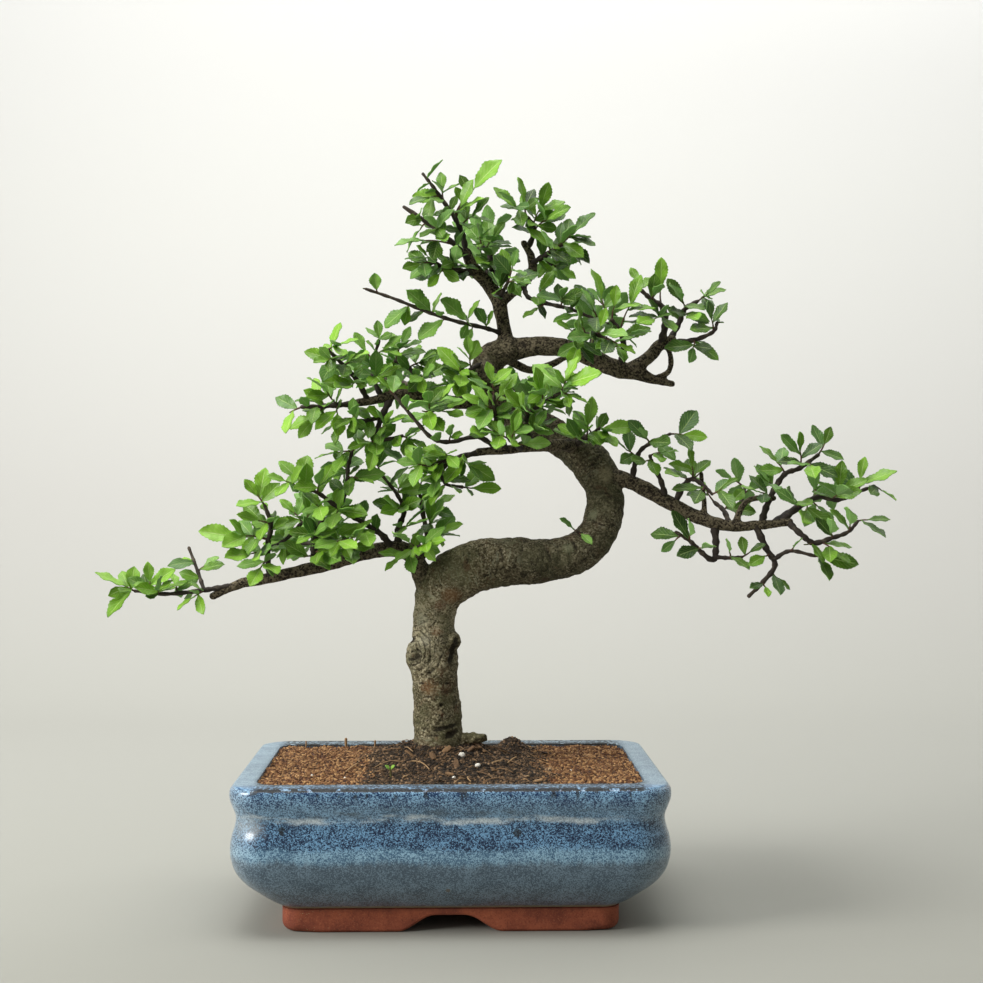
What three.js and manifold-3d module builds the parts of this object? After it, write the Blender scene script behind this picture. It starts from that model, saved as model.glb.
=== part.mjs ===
// A chinese elm bonsai growing in its glazed pot, in millimetres, with +Z up.
import * as THREE from 'three'
import { mergeVertices } from 'three/addons/utils/BufferGeometryUtils.js'
import Module from 'manifold-3d'

const wasm = await Module()
wasm.setup()

// Front view in which every branch was read off: across and down are counted on it, depth is in millimetres
const VIEW_MIDDLE = 491.5
const VIEW_FOCUS = 1611
const VIEW_TURN = THREE.MathUtils.degToRad(1.3)
const EYE = new THREE.Vector3(2.1, -928.8, 236)

// Pot: height, half length, half depth and corner radius of each level of the glazed wall
const POT_OUTSIDE = [
  [10, 91, 66, 10],
  [13.5, 91, 66, 10],
  [20, 103.6, 74, 20],
  [25.5, 110.4, 79, 22],
  [32, 115.3, 82.3, 22],
  [39, 117.7, 84.2, 22],
  [45.5, 118.3, 84.6, 22],
  [52, 117.4, 83.8, 21],
  [63, 115, 81.8, 18],
  [68.5, 116.7, 83.3, 18],
  [73, 118, 84.5, 18],
  [77.5, 117.8, 84.3, 18],
  [79.4, 116.4, 83, 18],
  [80, 114.5, 81.2, 17],
]
const POT_INSIDE = [
  [80, 106, 69.5, 12],
  [78.8, 104.5, 68, 11],
  [62, 105.5, 70, 12.5],
  [45, 109, 75, 14],
  [30, 103, 71, 18],
  [19.5, 92, 61, 24],
]
const CORNER_STEPS = 4
const FOOT_HALF_LENGTH = 91
const FOOT_HALF_DEPTH = 66
const FOOT_CORNER = 10
const FOOT_HEIGHT = 11
const FOOT_ROUNDING = 2.2
const FOOT_WALL = 12.5
const FOOT_RECESS_CORNER = 8
const FOOT_RECESS_HEIGHT = 10
const ARCH_STEPS = 5
const FRONT_ARCH = { middle: -0.5, top: 7.5, foot: 28.5, height: 9 }
const END_ARCH = { middle: 0, top: 5, foot: 17, height: 7 }
const DRAIN_HOLE_X = 45
const DRAIN_HOLE_RADIUS = 7

// Clearance kept between pieces that rest on or in each other
const SEAT_GAP = 0.3
const WOOD_GAP = 0.35

// Drainage screens: squares of plastic mesh
const SCREEN_HALF = 11
const SCREEN_THICKNESS = 1.2
const SCREEN_BARS = 3
const SCREEN_BAR_WIDTH = 2.2

// Soil: level at the wall, mound at the trunk, a lump, and the share of each oval of its surface
const SOIL_WALL_LEVEL = 78.2
const SOIL_MOUND = { x: -7, y: 0, height: 15.5, halfLength: 42, halfDepth: 34 }
const SOIL_LUMP = { x: 37, y: 50, height: 8, radius: 7.5 }
const SOIL_OVALS = [0.93, 0.72, 0.52, 0.34, 0.17]

// Wood: sides of a tube, and the bark's swelling round the trunk
const TRUNK_SIDES = 10
const BRANCH_SIDES = 6
const TWIG_SIDES = 5
const BRANCHLET_SIDES = 4

// Each route lists across, down, depth and radius of the stem at that point
const TRUNK = [
  [438, 850, 0, 20], [438, 800, 0, 19], [438, 758, 0, 16.5], [438.7, 740, 0, 14.4],
  [438.3, 720, 0, 13.7], [436.3, 695, 0, 13.3], [434.6, 670, 0, 13.3], [433.5, 648, 0, 13.5],
  [434.8, 626, 0, 11.9], [435.5, 607, -1, 12.2], [443.5, 587, -3, 14], [463, 571, -6, 15],
  [490, 563.5, -8, 14.4], [520, 561.5, -9, 13.2], [550, 560, -9, 12], [578, 552.5, -8, 11.4],
  [597, 534, -6, 10.8], [605, 510, -3, 10.7], [603, 487, 1, 10.8], [592, 465, 4, 11.5],
  [572, 447, 8, 10.2], [548, 432, 12, 9.6], [521, 418, 14, 9.4], [497, 400, 12, 9.3], [486, 378, 7, 9.2],
  [492, 358, 2, 8.6], [510, 349, -2, 7.2],
]
// Healed branch scars on the trunk: across, down, depth and the three half widths
const TRUNK_SCARS = [
  [419, 655, -1, 8, 9, 12],
  [450, 641, -3, 6.5, 8, 7],
  [487, 374, -2, 7, 9, 10],
]
const BRANCHES = {
  root: { sides: TWIG_SIDES, route: [[452, 744, -4, 4], [466, 739, -6, 3.4], [482, 738, -8, 2.6]] },
  shelf: {
    sides: BRANCH_SIDES,
    route: [
      [500, 352, 0, 7], [530, 347, -3, 5.6], [560, 347, -4, 5.2], [590, 357, -3, 5], [615, 368, -2, 5.2],
      [640, 374, 0, 4], [655, 380, 2, 2.4], [672, 384, 3, 1.8],
    ],
  },
  shelf_rise: {
    sides: BRANCH_SIDES,
    route: [[628, 371, 0, 4], [648, 358, 0, 3.6], [660, 345, 0, 3.4], [672, 340, 0, 2.8]],
  },
  shelf_hook: {
    sides: TWIG_SIDES,
    route: [[654, 379, 2, 1.7], [668, 372, 2, 1.6], [671, 358, 1, 1.5], [666, 344, 0, 1.4]],
  },
  loop: {
    sides: TWIG_SIDES,
    route: [[508, 360, 3, 2.4], [530, 370, 9, 2.1], [552, 364, 12, 1.9], [575, 352, 19, 1.6]],
  },
  leader: {
    sides: BRANCH_SIDES,
    route: [
      [506, 352, 0, 5], [505, 335, 1, 4.2], [502, 318, 2, 3.9], [498, 300, 2, 4.3], [487, 283, 0, 3.6],
      [474, 269, -3, 3.4], [466, 252, -5, 2.8],
    ],
  },
  crown_fork: {
    sides: BRANCH_SIDES,
    route: [
      [499, 304, 2, 3.4], [512, 293, 4, 2.8], [524, 283, 6, 2.8], [532, 270, 8, 2.8], [531, 256, 9, 2.3],
      [524, 243, 10, 1.8],
    ],
  },
  left_arm: {
    sides: BRANCH_SIDES,
    route: [
      [500, 402, 12, 5.4], [478, 402, 2, 4.2], [452, 402, -8, 3.6], [425, 398, -14, 3.2],
      [400, 394, -18, 3], [375, 400, -20, 2.4], [350, 404, -22, 1.8],
    ],
  },
  apron: {
    sides: BRANCH_SIDES,
    route: [
      [578, 446, 4, 4.4], [560, 445, -14, 3.4], [535, 447, -26, 2.8], [505, 450, -32, 2.4],
      [478, 452, -36, 2],
    ],
  },
  low_arm: {
    sides: BRANCH_SIDES,
    route: [
      [430, 592, -2, 7], [419, 567, -6, 5.2], [408, 552, -9, 4.8], [385, 549, -12, 4.3],
      [355, 556, -15, 3.8], [325, 565, -17, 3.7], [300, 571, -18, 3.2], [270, 578, -20, 3],
      [240, 584, -22, 2.7], [213, 596, -23, 2],
    ],
  },
  right_arm: {
    sides: BRANCH_SIDES,
    route: [
      [600, 478, 0, 6.5], [622, 479, -4, 4.4], [645, 489, -8, 4.2], [670, 503, -11, 4],
      [700, 518, -14, 3.7], [730, 526, -16, 3], [760, 525, -17, 2.5], [790, 522, -18, 2.1],
    ],
  },
  right_spur: {
    sides: TWIG_SIDES,
    route: [[704, 519, -14, 1.7], [704, 500, -14, 1.4], [701, 472, -14, 1]],
  },
  right_rise: {
    sides: TWIG_SIDES,
    route: [[735, 525, -16, 1.9], [742, 507, -15, 1.7], [752, 499, -14, 1.6], [774, 498, -12, 1.5]],
  },
}

// Leaves
const LEAF_SIZE = 18.5
const LEAF_THICKNESS = 0.7
const LEAF_STATIONS = [0.34, 0.74]
const PETIOLE_HALF_WIDTH = 0.6
const SHOOT_RADIUS = 0.5
const LONG_SHOOT = 9
const LEAF_TRIES = 9
const FACET_ALLOWANCE = 1.1

// Branchlets of each spray: its route, then a row for each shoot with the station on the route it leaves
// from, across, down and depth of its outermost leaf tip, its number of leaves and the size of a leaf
const FOLIAGE = {
  spray_crown_top: [
    [
      [
        [466, 254, -5, 1.9], [463, 236, -6, 1.7], [456, 220, -6, 1.5], [446, 205, -7, 1.3],
        [434, 188, -8, 1.1], [423, 174, -9, 0.9],
      ],
      [
        [2, 470, 180, -16, 3, 22], [3.2, 441, 176, -2, 3], [3.5, 411, 200, -20, 3],
        [1.5, 490, 200, -14, 4], [2.2, 497, 156, -10, 1, 24],
      ],
    ],
  ],
  spray_crown_stub: [
    [
      [[471, 262, -4, 1.7], [455, 245, -14, 1.6], [432, 226, -18, 1.5], [404, 207, -20, 1.2]],
      [[1, 396, 236, -26, 4], [1.6, 424, 215, -32, 2], [2.2, 404, 248, -10, 2]],
    ],
  ],
  spray_crown_west: [
    [
      [[478, 274, -2, 2.2], [461, 271, -8, 2], [446, 268, -12, 1.6], [432, 262, -16, 1.2]],
      [[3, 412, 266, -22, 3], [2, 430, 282, -20, 2], [1.5, 455, 248, -30, 3], [3, 420, 246, -30, 2]],
    ],
  ],
  spray_crown_core: [
    [
      [[488, 284, 0, 2], [492, 268, 4, 1.8], [489, 255, 8, 1.6], [482, 246, 10, 1.3]],
      [[3, 478, 228, -2, 3], [2.5, 504, 222, 6, 3], [2, 512, 262, -18, 3], [1.4, 478, 262, -18, 2]],
    ],
  ],
  spray_crown_back: [
    [
      [[494, 294, 3, 1.9], [488, 275, 16, 1.6], [480, 255, 28, 1.4], [478, 240, 34, 1.1]],
      [[3, 452, 222, 42, 4], [2.5, 508, 212, 46, 4], [2, 462, 250, 52, 3], [1.6, 515, 245, 40, 3]],
    ],
  ],
  spray_crown_mast: [
    [
      [[527, 250, 10, 1.8], [534, 233, 8, 1.7], [531, 222, 6, 1.5], [522, 213, 4, 1.1]],
      [[2.5, 520, 178, 0, 3], [3, 500, 190, -12, 3], [1.6, 550, 184, 2, 4], [1.2, 566, 204, -14, 3]],
    ],
  ],
  spray_crown_east: [
    [
      [[531, 264, 8, 2], [544, 256, 4, 1.6], [558, 247, 0, 1.2]],
      [[2, 594, 214, -6, 4], [2, 586, 240, 4, 3], [1.4, 545, 232, -22, 3], [1.8, 578, 226, -18, 2]],
    ],
    [
      [[544, 256, 4, 1.4], [549, 262, 12, 1.2], [554, 266, 19, 1]],
      [[2, 566, 262, 34, 3], [1.4, 572, 276, 14, 2]],
    ],
  ],
  spray_crown_front: [
    [
      [[499, 303, 2, 1.6], [503, 292, -8, 1.3], [508, 282, -16, 1]],
      [[2, 514, 262, -24, 4], [1, 492, 272, -20, 2], [2, 528, 280, -26, 2]],
    ],
  ],
  spray_upper_twig: [
    [
      [
        [524, 286, 5, 1.6], [528, 297, 1, 1.4], [545, 303, -4, 1.3], [570, 309, -8, 1.2],
        [590, 317, -10, 1], [608, 324, -10, 0.9],
      ],
      [
        [1.5, 550, 272, -14, 3], [2, 524, 318, -12, 2], [2.6, 565, 286, -22, 3],
        [4.4, 584, 288, -24, 3, 24], [4.8, 598, 268, -10, 3], [3.4, 578, 330, -18, 2],
      ],
    ],
  ],
  spray_upper_rise: [
    [
      [[620, 369, -2, 2.4], [624, 348, -8, 2], [620, 332, -12, 1.6], [612, 320, -14, 1.2]],
      [[3, 618, 286, -18, 3], [2, 642, 276, -16, 4], [1, 600, 346, -34, 3], [1.6, 648, 330, -32, 2]],
    ],
  ],
  spray_upper_knot: [
    [
      [
        [660, 346, -1, 2.4], [665, 326, -4, 2.1], [663, 308, -5, 1.9], [652, 300, -6, 1.6],
        [642, 291, -7, 1.2],
      ],
      [[2.2, 660, 258, -4, 3], [1.4, 640, 320, -30, 3], [4, 634, 272, -2, 2], [3, 660, 284, -24, 2]],
    ],
  ],
  spray_upper_east: [
    [
      [[670, 340, 2, 2], [679, 323, 7, 1.8], [685, 309, 7, 1.6], [698, 301, 7, 1.2]],
      [[3, 710, 292, 0, 3], [2, 674, 284, -14, 3], [1.6, 700, 318, -18, 3]],
    ],
  ],
  spray_upper_far: [
    [
      [[672, 342, -1, 1.8], [694, 340, -7, 1.5], [713, 332, -10, 1.2], [717, 323, -11, 1]],
      [[3, 724, 322, -10, 1, 8], [1, 692, 354, -18, 3], [2, 710, 308, -16, 3]],
    ],
  ],
  spray_upper_front: [
    [
      [[577, 352, -4, 1.9], [580, 338, -13, 1.5], [592, 334, -20, 1.3], [606, 338, -26, 1]],
      [
        [3, 634, 352, -32, 3], [2, 592, 360, -40, 2], [1, 562, 322, -22, 3], [1.5, 575, 308, -28, 2],
        [1, 572, 366, -26, 2], [2.4, 606, 312, -30, 2],
      ],
    ],
  ],
  spray_upper_back: [
    [
      [[590, 358, -2, 2.2], [592, 342, 14, 1.7], [600, 325, 30, 1.4], [608, 312, 40, 1.1]],
      [[3, 590, 290, 48, 4], [2.5, 636, 302, 50, 4], [2, 566, 322, 38, 4], [1.5, 630, 336, 32, 3]],
    ],
  ],
  spray_middle_west: [
    [
      [[352, 404, -22, 1.9], [325, 406, -24, 1.5], [302, 407, -26, 1.1]],
      [
        [0.5, 312, 374, -36, 4], [1, 314, 380, -12, 3], [2, 291, 412, -28, 3], [1, 298, 436, -32, 4],
        [0.5, 336, 430, -42, 3],
      ],
    ],
  ],
  spray_middle_fork: [
    [
      [[368, 401, -20, 1.9], [358, 382, -25, 1.5], [344, 366, -29, 1.3], [328, 350, -31, 1]],
      [[3, 346, 342, -36, 3], [2.4, 318, 360, -44, 3], [1, 338, 392, -50, 3, 22], [2, 368, 352, -44, 2]],
    ],
  ],
  spray_middle_mast: [
    [
      [[382, 398, -19, 1.8], [374, 380, -15, 1.4], [373, 362, -13, 1.2], [379, 341, -13, 1]],
      [[2, 354, 334, -10, 3], [2.2, 400, 336, -20, 3], [1, 388, 366, -38, 3], [3, 380, 320, -12, 1, 16]],
    ],
  ],
  spray_middle_rise: [
    [
      [[412, 397, -16, 2.4], [417, 382, -11, 1.8], [409, 368, -8, 1.5], [396, 361, -6, 1.2]],
      [[3, 406, 332, -8, 4], [2, 442, 352, 2, 3], [1, 434, 366, -28, 3], [3, 380, 376, 8, 2]],
    ],
  ],
  spray_middle_drop: [
    [
      [
        [392, 396, -18, 2.4], [384, 412, -22, 1.9], [378, 428, -24, 1.6], [379, 440, -25, 1.3],
        [402, 436, -27, 1],
      ],
      [[3, 350, 446, -32, 3], [2.6, 372, 466, -36, 3, 22], [2, 402, 420, -42, 3], [4, 424, 446, -32, 2]],
    ],
    [
      [[382, 416, -23, 1.7], [365, 421, -27, 1.4], [345, 419, -30, 1.1]],
      [[1.6, 356, 404, -46, 2], [2, 322, 432, -22, 2]],
    ],
  ],
  spray_middle_front: [
    [
      [[440, 400, -11, 1.8], [436, 408, -24, 1.4], [430, 412, -36, 1.1]],
      [
        [2, 428, 390, -52, 3], [1.6, 420, 432, -48, 3], [1, 450, 384, -34, 3], [1.2, 464, 416, -38, 3],
        [2, 400, 408, -50, 2],
      ],
    ],
  ],
  spray_middle_back: [
    [
      [[428, 398, -13, 2.2], [415, 388, 6, 1.7], [395, 380, 28, 1.4], [372, 376, 40, 1.1]],
      [
        [3, 344, 362, 48, 4], [2.4, 400, 352, 48, 4], [2, 382, 404, 46, 3], [1.2, 444, 364, 26, 3],
        [1.6, 430, 410, 36, 2],
      ],
    ],
  ],
  spray_middle_sprig: [
    [
      [[486, 362, -2, 1.6], [470, 370, -14, 1.2], [457, 383, -19, 1.1]],
      [[2, 436, 392, -26, 2], [0.9, 468, 342, -16, 3], [1.5, 456, 358, -28, 3], [1.6, 484, 384, -30, 2]],
    ],
  ],
  spray_wisp: [
    [
      [
        [504, 334, 0, 1.5], [485, 328, -6, 1.3], [455, 321, -12, 1.2], [425, 311, -16, 1.1],
        [395, 299, -20, 1], [366, 289, -24, 0.9],
      ],
      [
        [0.9, 478, 306, -8, 1, 15], [1.5, 444, 296, -14, 1, 20], [1.4, 466, 340, -12, 1, 14],
        [2.3, 418, 338, -16, 1, 20], [2.7, 407, 289, -18, 1, 20], [3.5, 384, 326, -20, 1, 20],
        [4.6, 372, 273, -26, 1, 14], [5, 361, 288, -26, 1, 12],
      ],
      0.7,
    ],
  ],
  spray_arc: [
    [
      [
        [500, 451, -33, 1.7], [478, 437, -38, 1.4], [450, 442, -42, 1.3], [432, 438, -44, 1.2],
        [415, 420, -46, 1.1], [395, 396, -48, 0.9],
      ],
      [[5, 380, 380, -52, 2, 16], [4.4, 406, 392, -56, 1, 16], [2, 452, 424, -56, 2]],
    ],
  ],
  spray_centre_rise: [
    [
      [
        [535, 447, -26, 2], [528, 432, -34, 1.6], [528, 415, -38, 1.4], [543, 403, -40, 1.2],
        [560, 393, -42, 1],
      ],
      [
        [4, 574, 362, -46, 3, 24], [3, 536, 370, -52, 3, 24], [2, 506, 392, -56, 3],
        [1, 548, 424, -60, 3], [4, 590, 400, -46, 2],
      ],
    ],
  ],
  spray_centre_west: [
    [
      [[507, 450, -32, 1.8], [498, 432, -42, 1.5], [495, 412, -46, 1.2], [494, 396, -48, 1]],
      [[3, 490, 362, -50, 3], [2, 466, 394, -54, 3], [1, 470, 432, -60, 3], [2.4, 514, 372, -44, 2]],
    ],
  ],
  spray_centre_east: [
    [
      [[572, 447, -2, 1.8], [586, 438, -12, 1.4], [600, 428, -18, 1]],
      [[1, 592, 398, -18, 3], [2, 612, 440, -24, 2], [1.4, 576, 414, -32, 3], [0.8, 556, 436, -34, 3]],
    ],
  ],
  spray_centre_front: [
    [
      [[522, 449, -29, 1.7], [515, 445, -44, 1.3], [508, 438, -54, 1]],
      [[2, 480, 430, -66, 3], [1.6, 522, 414, -64, 3], [1, 548, 442, -54, 2]],
    ],
  ],
  spray_centre_tail: [
    [
      [[481, 452, -35.6, 1.9], [452, 459, -39, 1.4], [430, 466, -41, 1]],
      [[2, 408, 462, -46, 3], [1, 438, 446, -54, 3], [0.6, 476, 474, -46, 3]],
    ],
    [
      [[450, 460, -39, 1.3], [442, 472, -38, 1.2], [446, 484, -36, 1.1], [462, 487, -35, 1]],
      [[3, 500, 492, -34, 2, 20], [1, 412, 480, -34, 3], [2, 424, 496, -30, 2]],
    ],
  ],
  spray_centre_back: [
    [
      [[548, 432, 14, 2], [542, 415, 28, 1.7], [530, 400, 40, 1.4], [515, 390, 48, 1.1]],
      [[3, 490, 374, 54, 4], [2.4, 552, 380, 52, 4], [2, 520, 420, 60, 3], [1.4, 574, 400, 38, 3]],
    ],
  ],
  spray_low_tip: [
    [
      [
        [238, 585, -22, 1.9], [218, 588, -24, 1.6], [198, 591, -25, 1.4], [165, 594, -26, 1.2],
        [135, 591, -28, 0.9],
      ],
      [
        [4, 97, 572, -30, 2, 22], [3.4, 148, 572, -32, 3], [2.6, 175, 578, -14, 3],
        [1.6, 176, 606, -34, 3], [3.2, 160, 580, -44, 2],
      ],
    ],
    [
      [[204, 590, -25, 1.3], [198, 572, -20, 1.1], [189, 548, -16, 0.9]],
      [[1, 216, 556, -10, 2]],
    ],
  ],
  spray_low_rise: [
    [
      [
        [270, 579, -20, 2.2], [268, 560, -24, 1.8], [268, 543, -26, 1.6], [271, 525, -26, 1.4],
        [265, 506, -26, 1.1],
      ],
      [
        [4, 252, 488, -28, 3, 18], [3, 238, 514, -36, 3], [2.2, 200, 534, -34, 4, 22],
        [1.3, 226, 552, -46, 3], [1, 248, 582, -50, 3],
      ],
    ],
    [
      [[268, 550, -25, 1.5], [285, 540, -18, 1.3], [302, 523, -12, 1.1]],
      [[2, 284, 500, -8, 3], [2, 318, 504, -20, 3], [1, 282, 558, -6, 2]],
    ],
  ],
  spray_low_long: [
    [
      [
        [392, 549, -12, 2.6], [382, 535, -18, 2], [362, 522, -22, 1.7], [340, 509, -26, 1.4],
        [318, 493, -30, 1.2], [298, 486, -33, 0.9],
      ],
      [
        [5, 278, 478, -38, 3], [4.5, 280, 460, -30, 3, 22], [4, 322, 470, -48, 3], [3, 330, 524, -50, 3],
        [2, 368, 544, -48, 2],
      ],
    ],
    [
      [[339, 508, -26, 1.5], [347, 488, -24, 1.4], [348, 468, -22, 1.2], [352, 452, -22, 1]],
      [[3, 316, 453, -26, 3, 22], [3, 368, 432, -24, 3], [2, 332, 482, -10, 2], [1.5, 370, 480, -32, 3]],
    ],
  ],
  spray_low_stub: [
    [
      [[318, 567, -17, 2.8], [314, 552, -24, 2.3], [316, 536, -28, 1.7], [325, 512, -32, 1.2]],
      [
        [2, 304, 536, -52, 3], [3, 304, 496, -42, 3], [1, 340, 556, -44, 3], [2, 350, 524, -20, 2],
        [0.7, 288, 558, -40, 3],
      ],
    ],
  ],
  spray_low_red: [
    [
      [
        [399, 551, -10, 2.4], [398, 530, -12, 1.9], [404, 512, -14, 1.5], [398, 496, -16, 1.2],
        [382, 475, -18, 0.9],
      ],
      [[4, 368, 444, -22, 3, 22], [2, 384, 500, -34, 3], [3, 402, 474, -4, 3], [1, 424, 520, -34, 3]],
    ],
  ],
  spray_low_east: [
    [
      [[419, 566, -6, 2.4], [427, 540, -5, 1.8], [423, 514, -4, 1.4], [419, 490, -3, 1.1]],
      [[3, 428, 466, 0, 3], [2, 452, 492, 4, 3], [1, 460, 524, -18, 3], [1.4, 442, 508, -26, 3]],
    ],
  ],
  spray_low_front: [
    [
      [[406, 554, -10, 1.9], [412, 550, -24, 1.4], [420, 546, -34, 1.1]],
      [[2, 440, 540, -46, 3], [1, 388, 566, -28, 3], [1.5, 396, 532, -52, 2]],
    ],
  ],
  spray_low_back: [
    [
      [[340, 561, -16, 2.4], [335, 545, 6, 1.8], [325, 530, 26, 1.5], [318, 515, 38, 1.1]],
      [[3, 296, 496, 44, 4], [2.5, 350, 500, 48, 4], [1.5, 364, 530, 36, 3]],
    ],
    [
      [[334, 544, 8, 1.6], [304, 543, 20, 1.4], [270, 540, 27, 1.1]],
      [[2, 232, 532, 30, 4], [1.4, 276, 520, 44, 3], [1, 292, 556, 38, 3]],
    ],
  ],
  spray_low_middle: [
    [
      [[362, 555, -14, 2.1], [352, 545, -26, 1.5], [345, 540, -36, 1.1]],
      [[2, 318, 546, -56, 3], [1.5, 366, 524, -48, 3], [1, 350, 564, -46, 2]],
    ],
  ],
  spray_trunk_sprig: [
    [
      [[588, 541, -12, 1.4], [582, 535, -20, 1.2], [576, 531, -24, 0.9]],
      [[2, 560, 518, -28, 1, 14], [1.5, 592, 541, -32, 1, 12]],
    ],
  ],
  spray_right_first: [
    [
      [
        [632, 482, -6, 2.2], [635, 464, -10, 1.6], [641, 450, -13, 1.4], [655, 441, -15, 1.2],
        [670, 434, -17, 1],
      ],
      [
        [1.4, 616, 442, -16, 3], [2.6, 642, 430, -30, 3], [4, 698, 436, -20, 3, 22],
        [3, 664, 460, -2, 2],
      ],
    ],
  ],
  spray_right_twin: [
    [
      [[666, 500, -11, 2.1], [661, 481, -14, 1.6], [653, 465, -16, 1.3], [650, 456, -17, 1]],
      [[3, 676, 448, -30, 3], [2.4, 632, 462, -30, 2]],
    ],
  ],
  spray_right_crook: [
    [
      [
        [674, 505, -11, 2.2], [683, 487, -15, 1.8], [692, 479, -18, 1.5], [704, 486, -21, 1.2],
        [712, 494, -23, 1],
      ],
      [
        [2, 692, 450, -26, 3], [2, 712, 464, -12, 2], [4, 728, 484, -30, 3], [3, 694, 502, -38, 2],
        [1.6, 668, 468, -34, 2],
      ],
    ],
  ],
  spray_right_rear: [
    [
      [[730, 526, -15, 2], [724, 511, -6, 1.5], [714, 502, 2, 1.2]],
      [[2, 700, 482, 8, 3], [1, 742, 488, 6, 3]],
    ],
  ],
  spray_right_drop: [
    [
      [
        [714, 524, -15, 2.6], [716, 545, -17, 2], [713, 560, -19, 1.8], [700, 551, -21, 1.5],
        [690, 541, -23, 1.3], [676, 532, -25, 1],
      ],
      [[4.6, 668, 546, -30, 2], [4, 690, 520, -40, 2], [3.2, 712, 546, -40, 2]],
    ],
    [
      [[715, 557, -19, 1.4], [730, 558, -20, 1.2], [742, 557, -20, 1]],
      [[2, 750, 552, -22, 2, 16], [1, 728, 540, -32, 2, 16]],
    ],
  ],
  spray_right_hang: [
    [
      [
        [756, 526, -17, 2.4], [766, 548, -18, 1.9], [775, 565, -19, 1.7], [763, 582, -20, 1.4],
        [749, 596, -21, 1.1],
      ],
      [
        [1, 738, 540, -26, 2], [1.3, 754, 562, -34, 2], [2.4, 784, 584, -16, 2, 16],
        [3, 768, 592, -30, 2, 14],
      ],
    ],
    [
      [[773, 560, -19, 1.5], [790, 551, -22, 1.2], [815, 556, -25, 1]],
      [[2, 857, 564, -30, 2, 22], [1, 800, 540, -36, 2]],
    ],
  ],
  spray_right_crown: [
    [
      [
        [761, 525, -17, 2.4], [766, 508, -13, 2], [774, 490, -8, 1.8], [785, 474, -6, 1.6],
        [800, 468, -5, 1.5], [818, 455, -4, 1.1],
      ],
      [
        [4, 800, 440, -10, 4], [3, 764, 444, -4, 3], [2, 760, 466, -28, 3], [5, 828, 438, -2, 3],
        [1.6, 742, 484, -24, 3], [4.4, 816, 472, -32, 3],
      ],
    ],
  ],
  spray_right_spread: [
    [
      [
        [778, 524, -18, 2.1], [798, 508, -11, 1.8], [818, 497, -6, 1.6], [838, 500, -4, 1.4],
        [858, 492, -2, 1.2], [874, 486, 0, 1],
      ],
      [
        [5, 884, 492, -4, 2, 18], [4, 864, 458, 2, 3, 22], [3, 842, 462, -10, 3],
        [2.6, 850, 486, -30, 3], [1, 790, 492, -40, 3], [1.4, 806, 524, -36, 3],
      ],
    ],
  ],
  spray_right_tip: [
    [
      [
        [788, 522, -18, 2], [802, 535, -23, 1.8], [814, 543, -23, 1.7], [832, 538, -24, 1.4],
        [848, 532, -25, 1.2], [858, 521, -26, 1],
      ],
      [
        [5, 886, 518, -26, 2, 22], [3, 828, 520, -42, 2], [2, 784, 548, -38, 3],
        [2.4, 848, 560, -34, 3, 22], [4, 854, 506, -46, 2],
      ],
    ],
  ],
  spray_right_back: [
    [
      [[738, 527, -15, 2.1], [738, 512, 6, 1.6], [742, 498, 20, 1.3], [745, 488, 28, 1]],
      [[3, 722, 472, 36, 4], [2.4, 770, 480, 36, 4]],
    ],
  ],
  spray_right_back_far: [
    [
      [[770, 525, -16, 2.1], [787, 513, 5, 1.6], [808, 500, 18, 1.3], [826, 493, 28, 1]],
      [[3, 856, 480, 34, 4], [2.4, 812, 468, 38, 4], [2, 836, 518, 32, 3]],
    ],
  ],
}

// Seedling and perlite grains on the soil
const SEEDLING = { across: 390, down: 779, depth: -46, height: 5, stemRadius: 0.7, leafLength: 3.6 }
const PERLITE = [
  { x: 6, y: -22, halfSizes: [1.9, 1.7, 1.6] },
  { x: 14.7, y: -33, halfSizes: [1.5, 1.8, 1.4] },
]

const glaze = new THREE.MeshStandardMaterial({ name: 'blue glaze', color: 0x55779f, roughness: 0.25 })
const earth = new THREE.MeshStandardMaterial({ name: 'granular soil', color: 0x6b4a33, roughness: 0.95 })
const bark = new THREE.MeshStandardMaterial({ name: 'elm bark', color: 0x6f6552, roughness: 0.85 })
const foliage = new THREE.MeshStandardMaterial({ name: 'elm leaf', color: 0x4f8a35, roughness: 0.5 })
const plastic = new THREE.MeshStandardMaterial({ name: 'black plastic', color: 0x1d1f20, roughness: 0.6 })
const perlite = new THREE.MeshStandardMaterial({ name: 'white perlite', color: 0xe9e6dd, roughness: 0.9 })

const group = new THREE.Group()

// Place of a point that the front view shows at across and down, at a given depth
function place([across, down, depth]) {
  const reach = depth - EYE.y
  const bearing = Math.atan((across - VIEW_MIDDLE) / VIEW_FOCUS) + VIEW_TURN
  const x = reach * Math.tan(bearing)
  const away = x * Math.sin(VIEW_TURN) + reach * Math.cos(VIEW_TURN)
  return new THREE.Vector3(EYE.x + x, depth, EYE.z + (VIEW_MIDDLE - down) * away / VIEW_FOCUS)
}

// Closed surface from its points and its outward faces
function surface(points, faces) {
  const geometry = new THREE.BufferGeometry()
  geometry.setFromPoints(points)
  geometry.setIndex(faces.flat())
  return geometry
}

// Closed skin through rings with the same number of points, anticlockwise seen from the way they advance
function loft(rings) {
  const count = rings[0].length
  const last = (rings.length - 1) * count
  const faces = []
  for (let ring = 0; ring < rings.length - 1; ring += 1) {
    for (let side = 0; side < count; side += 1) {
      const a = ring * count + side
      const b = ring * count + (side + 1) % count
      faces.push([a, b, b + count], [a, b + count, a + count])
    }
  }
  for (let side = 1; side < count - 1; side += 1) {
    faces.push([0, side + 1, side], [last, last + side, last + side + 1])
  }
  return surface(rings.flat(), faces)
}

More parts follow.
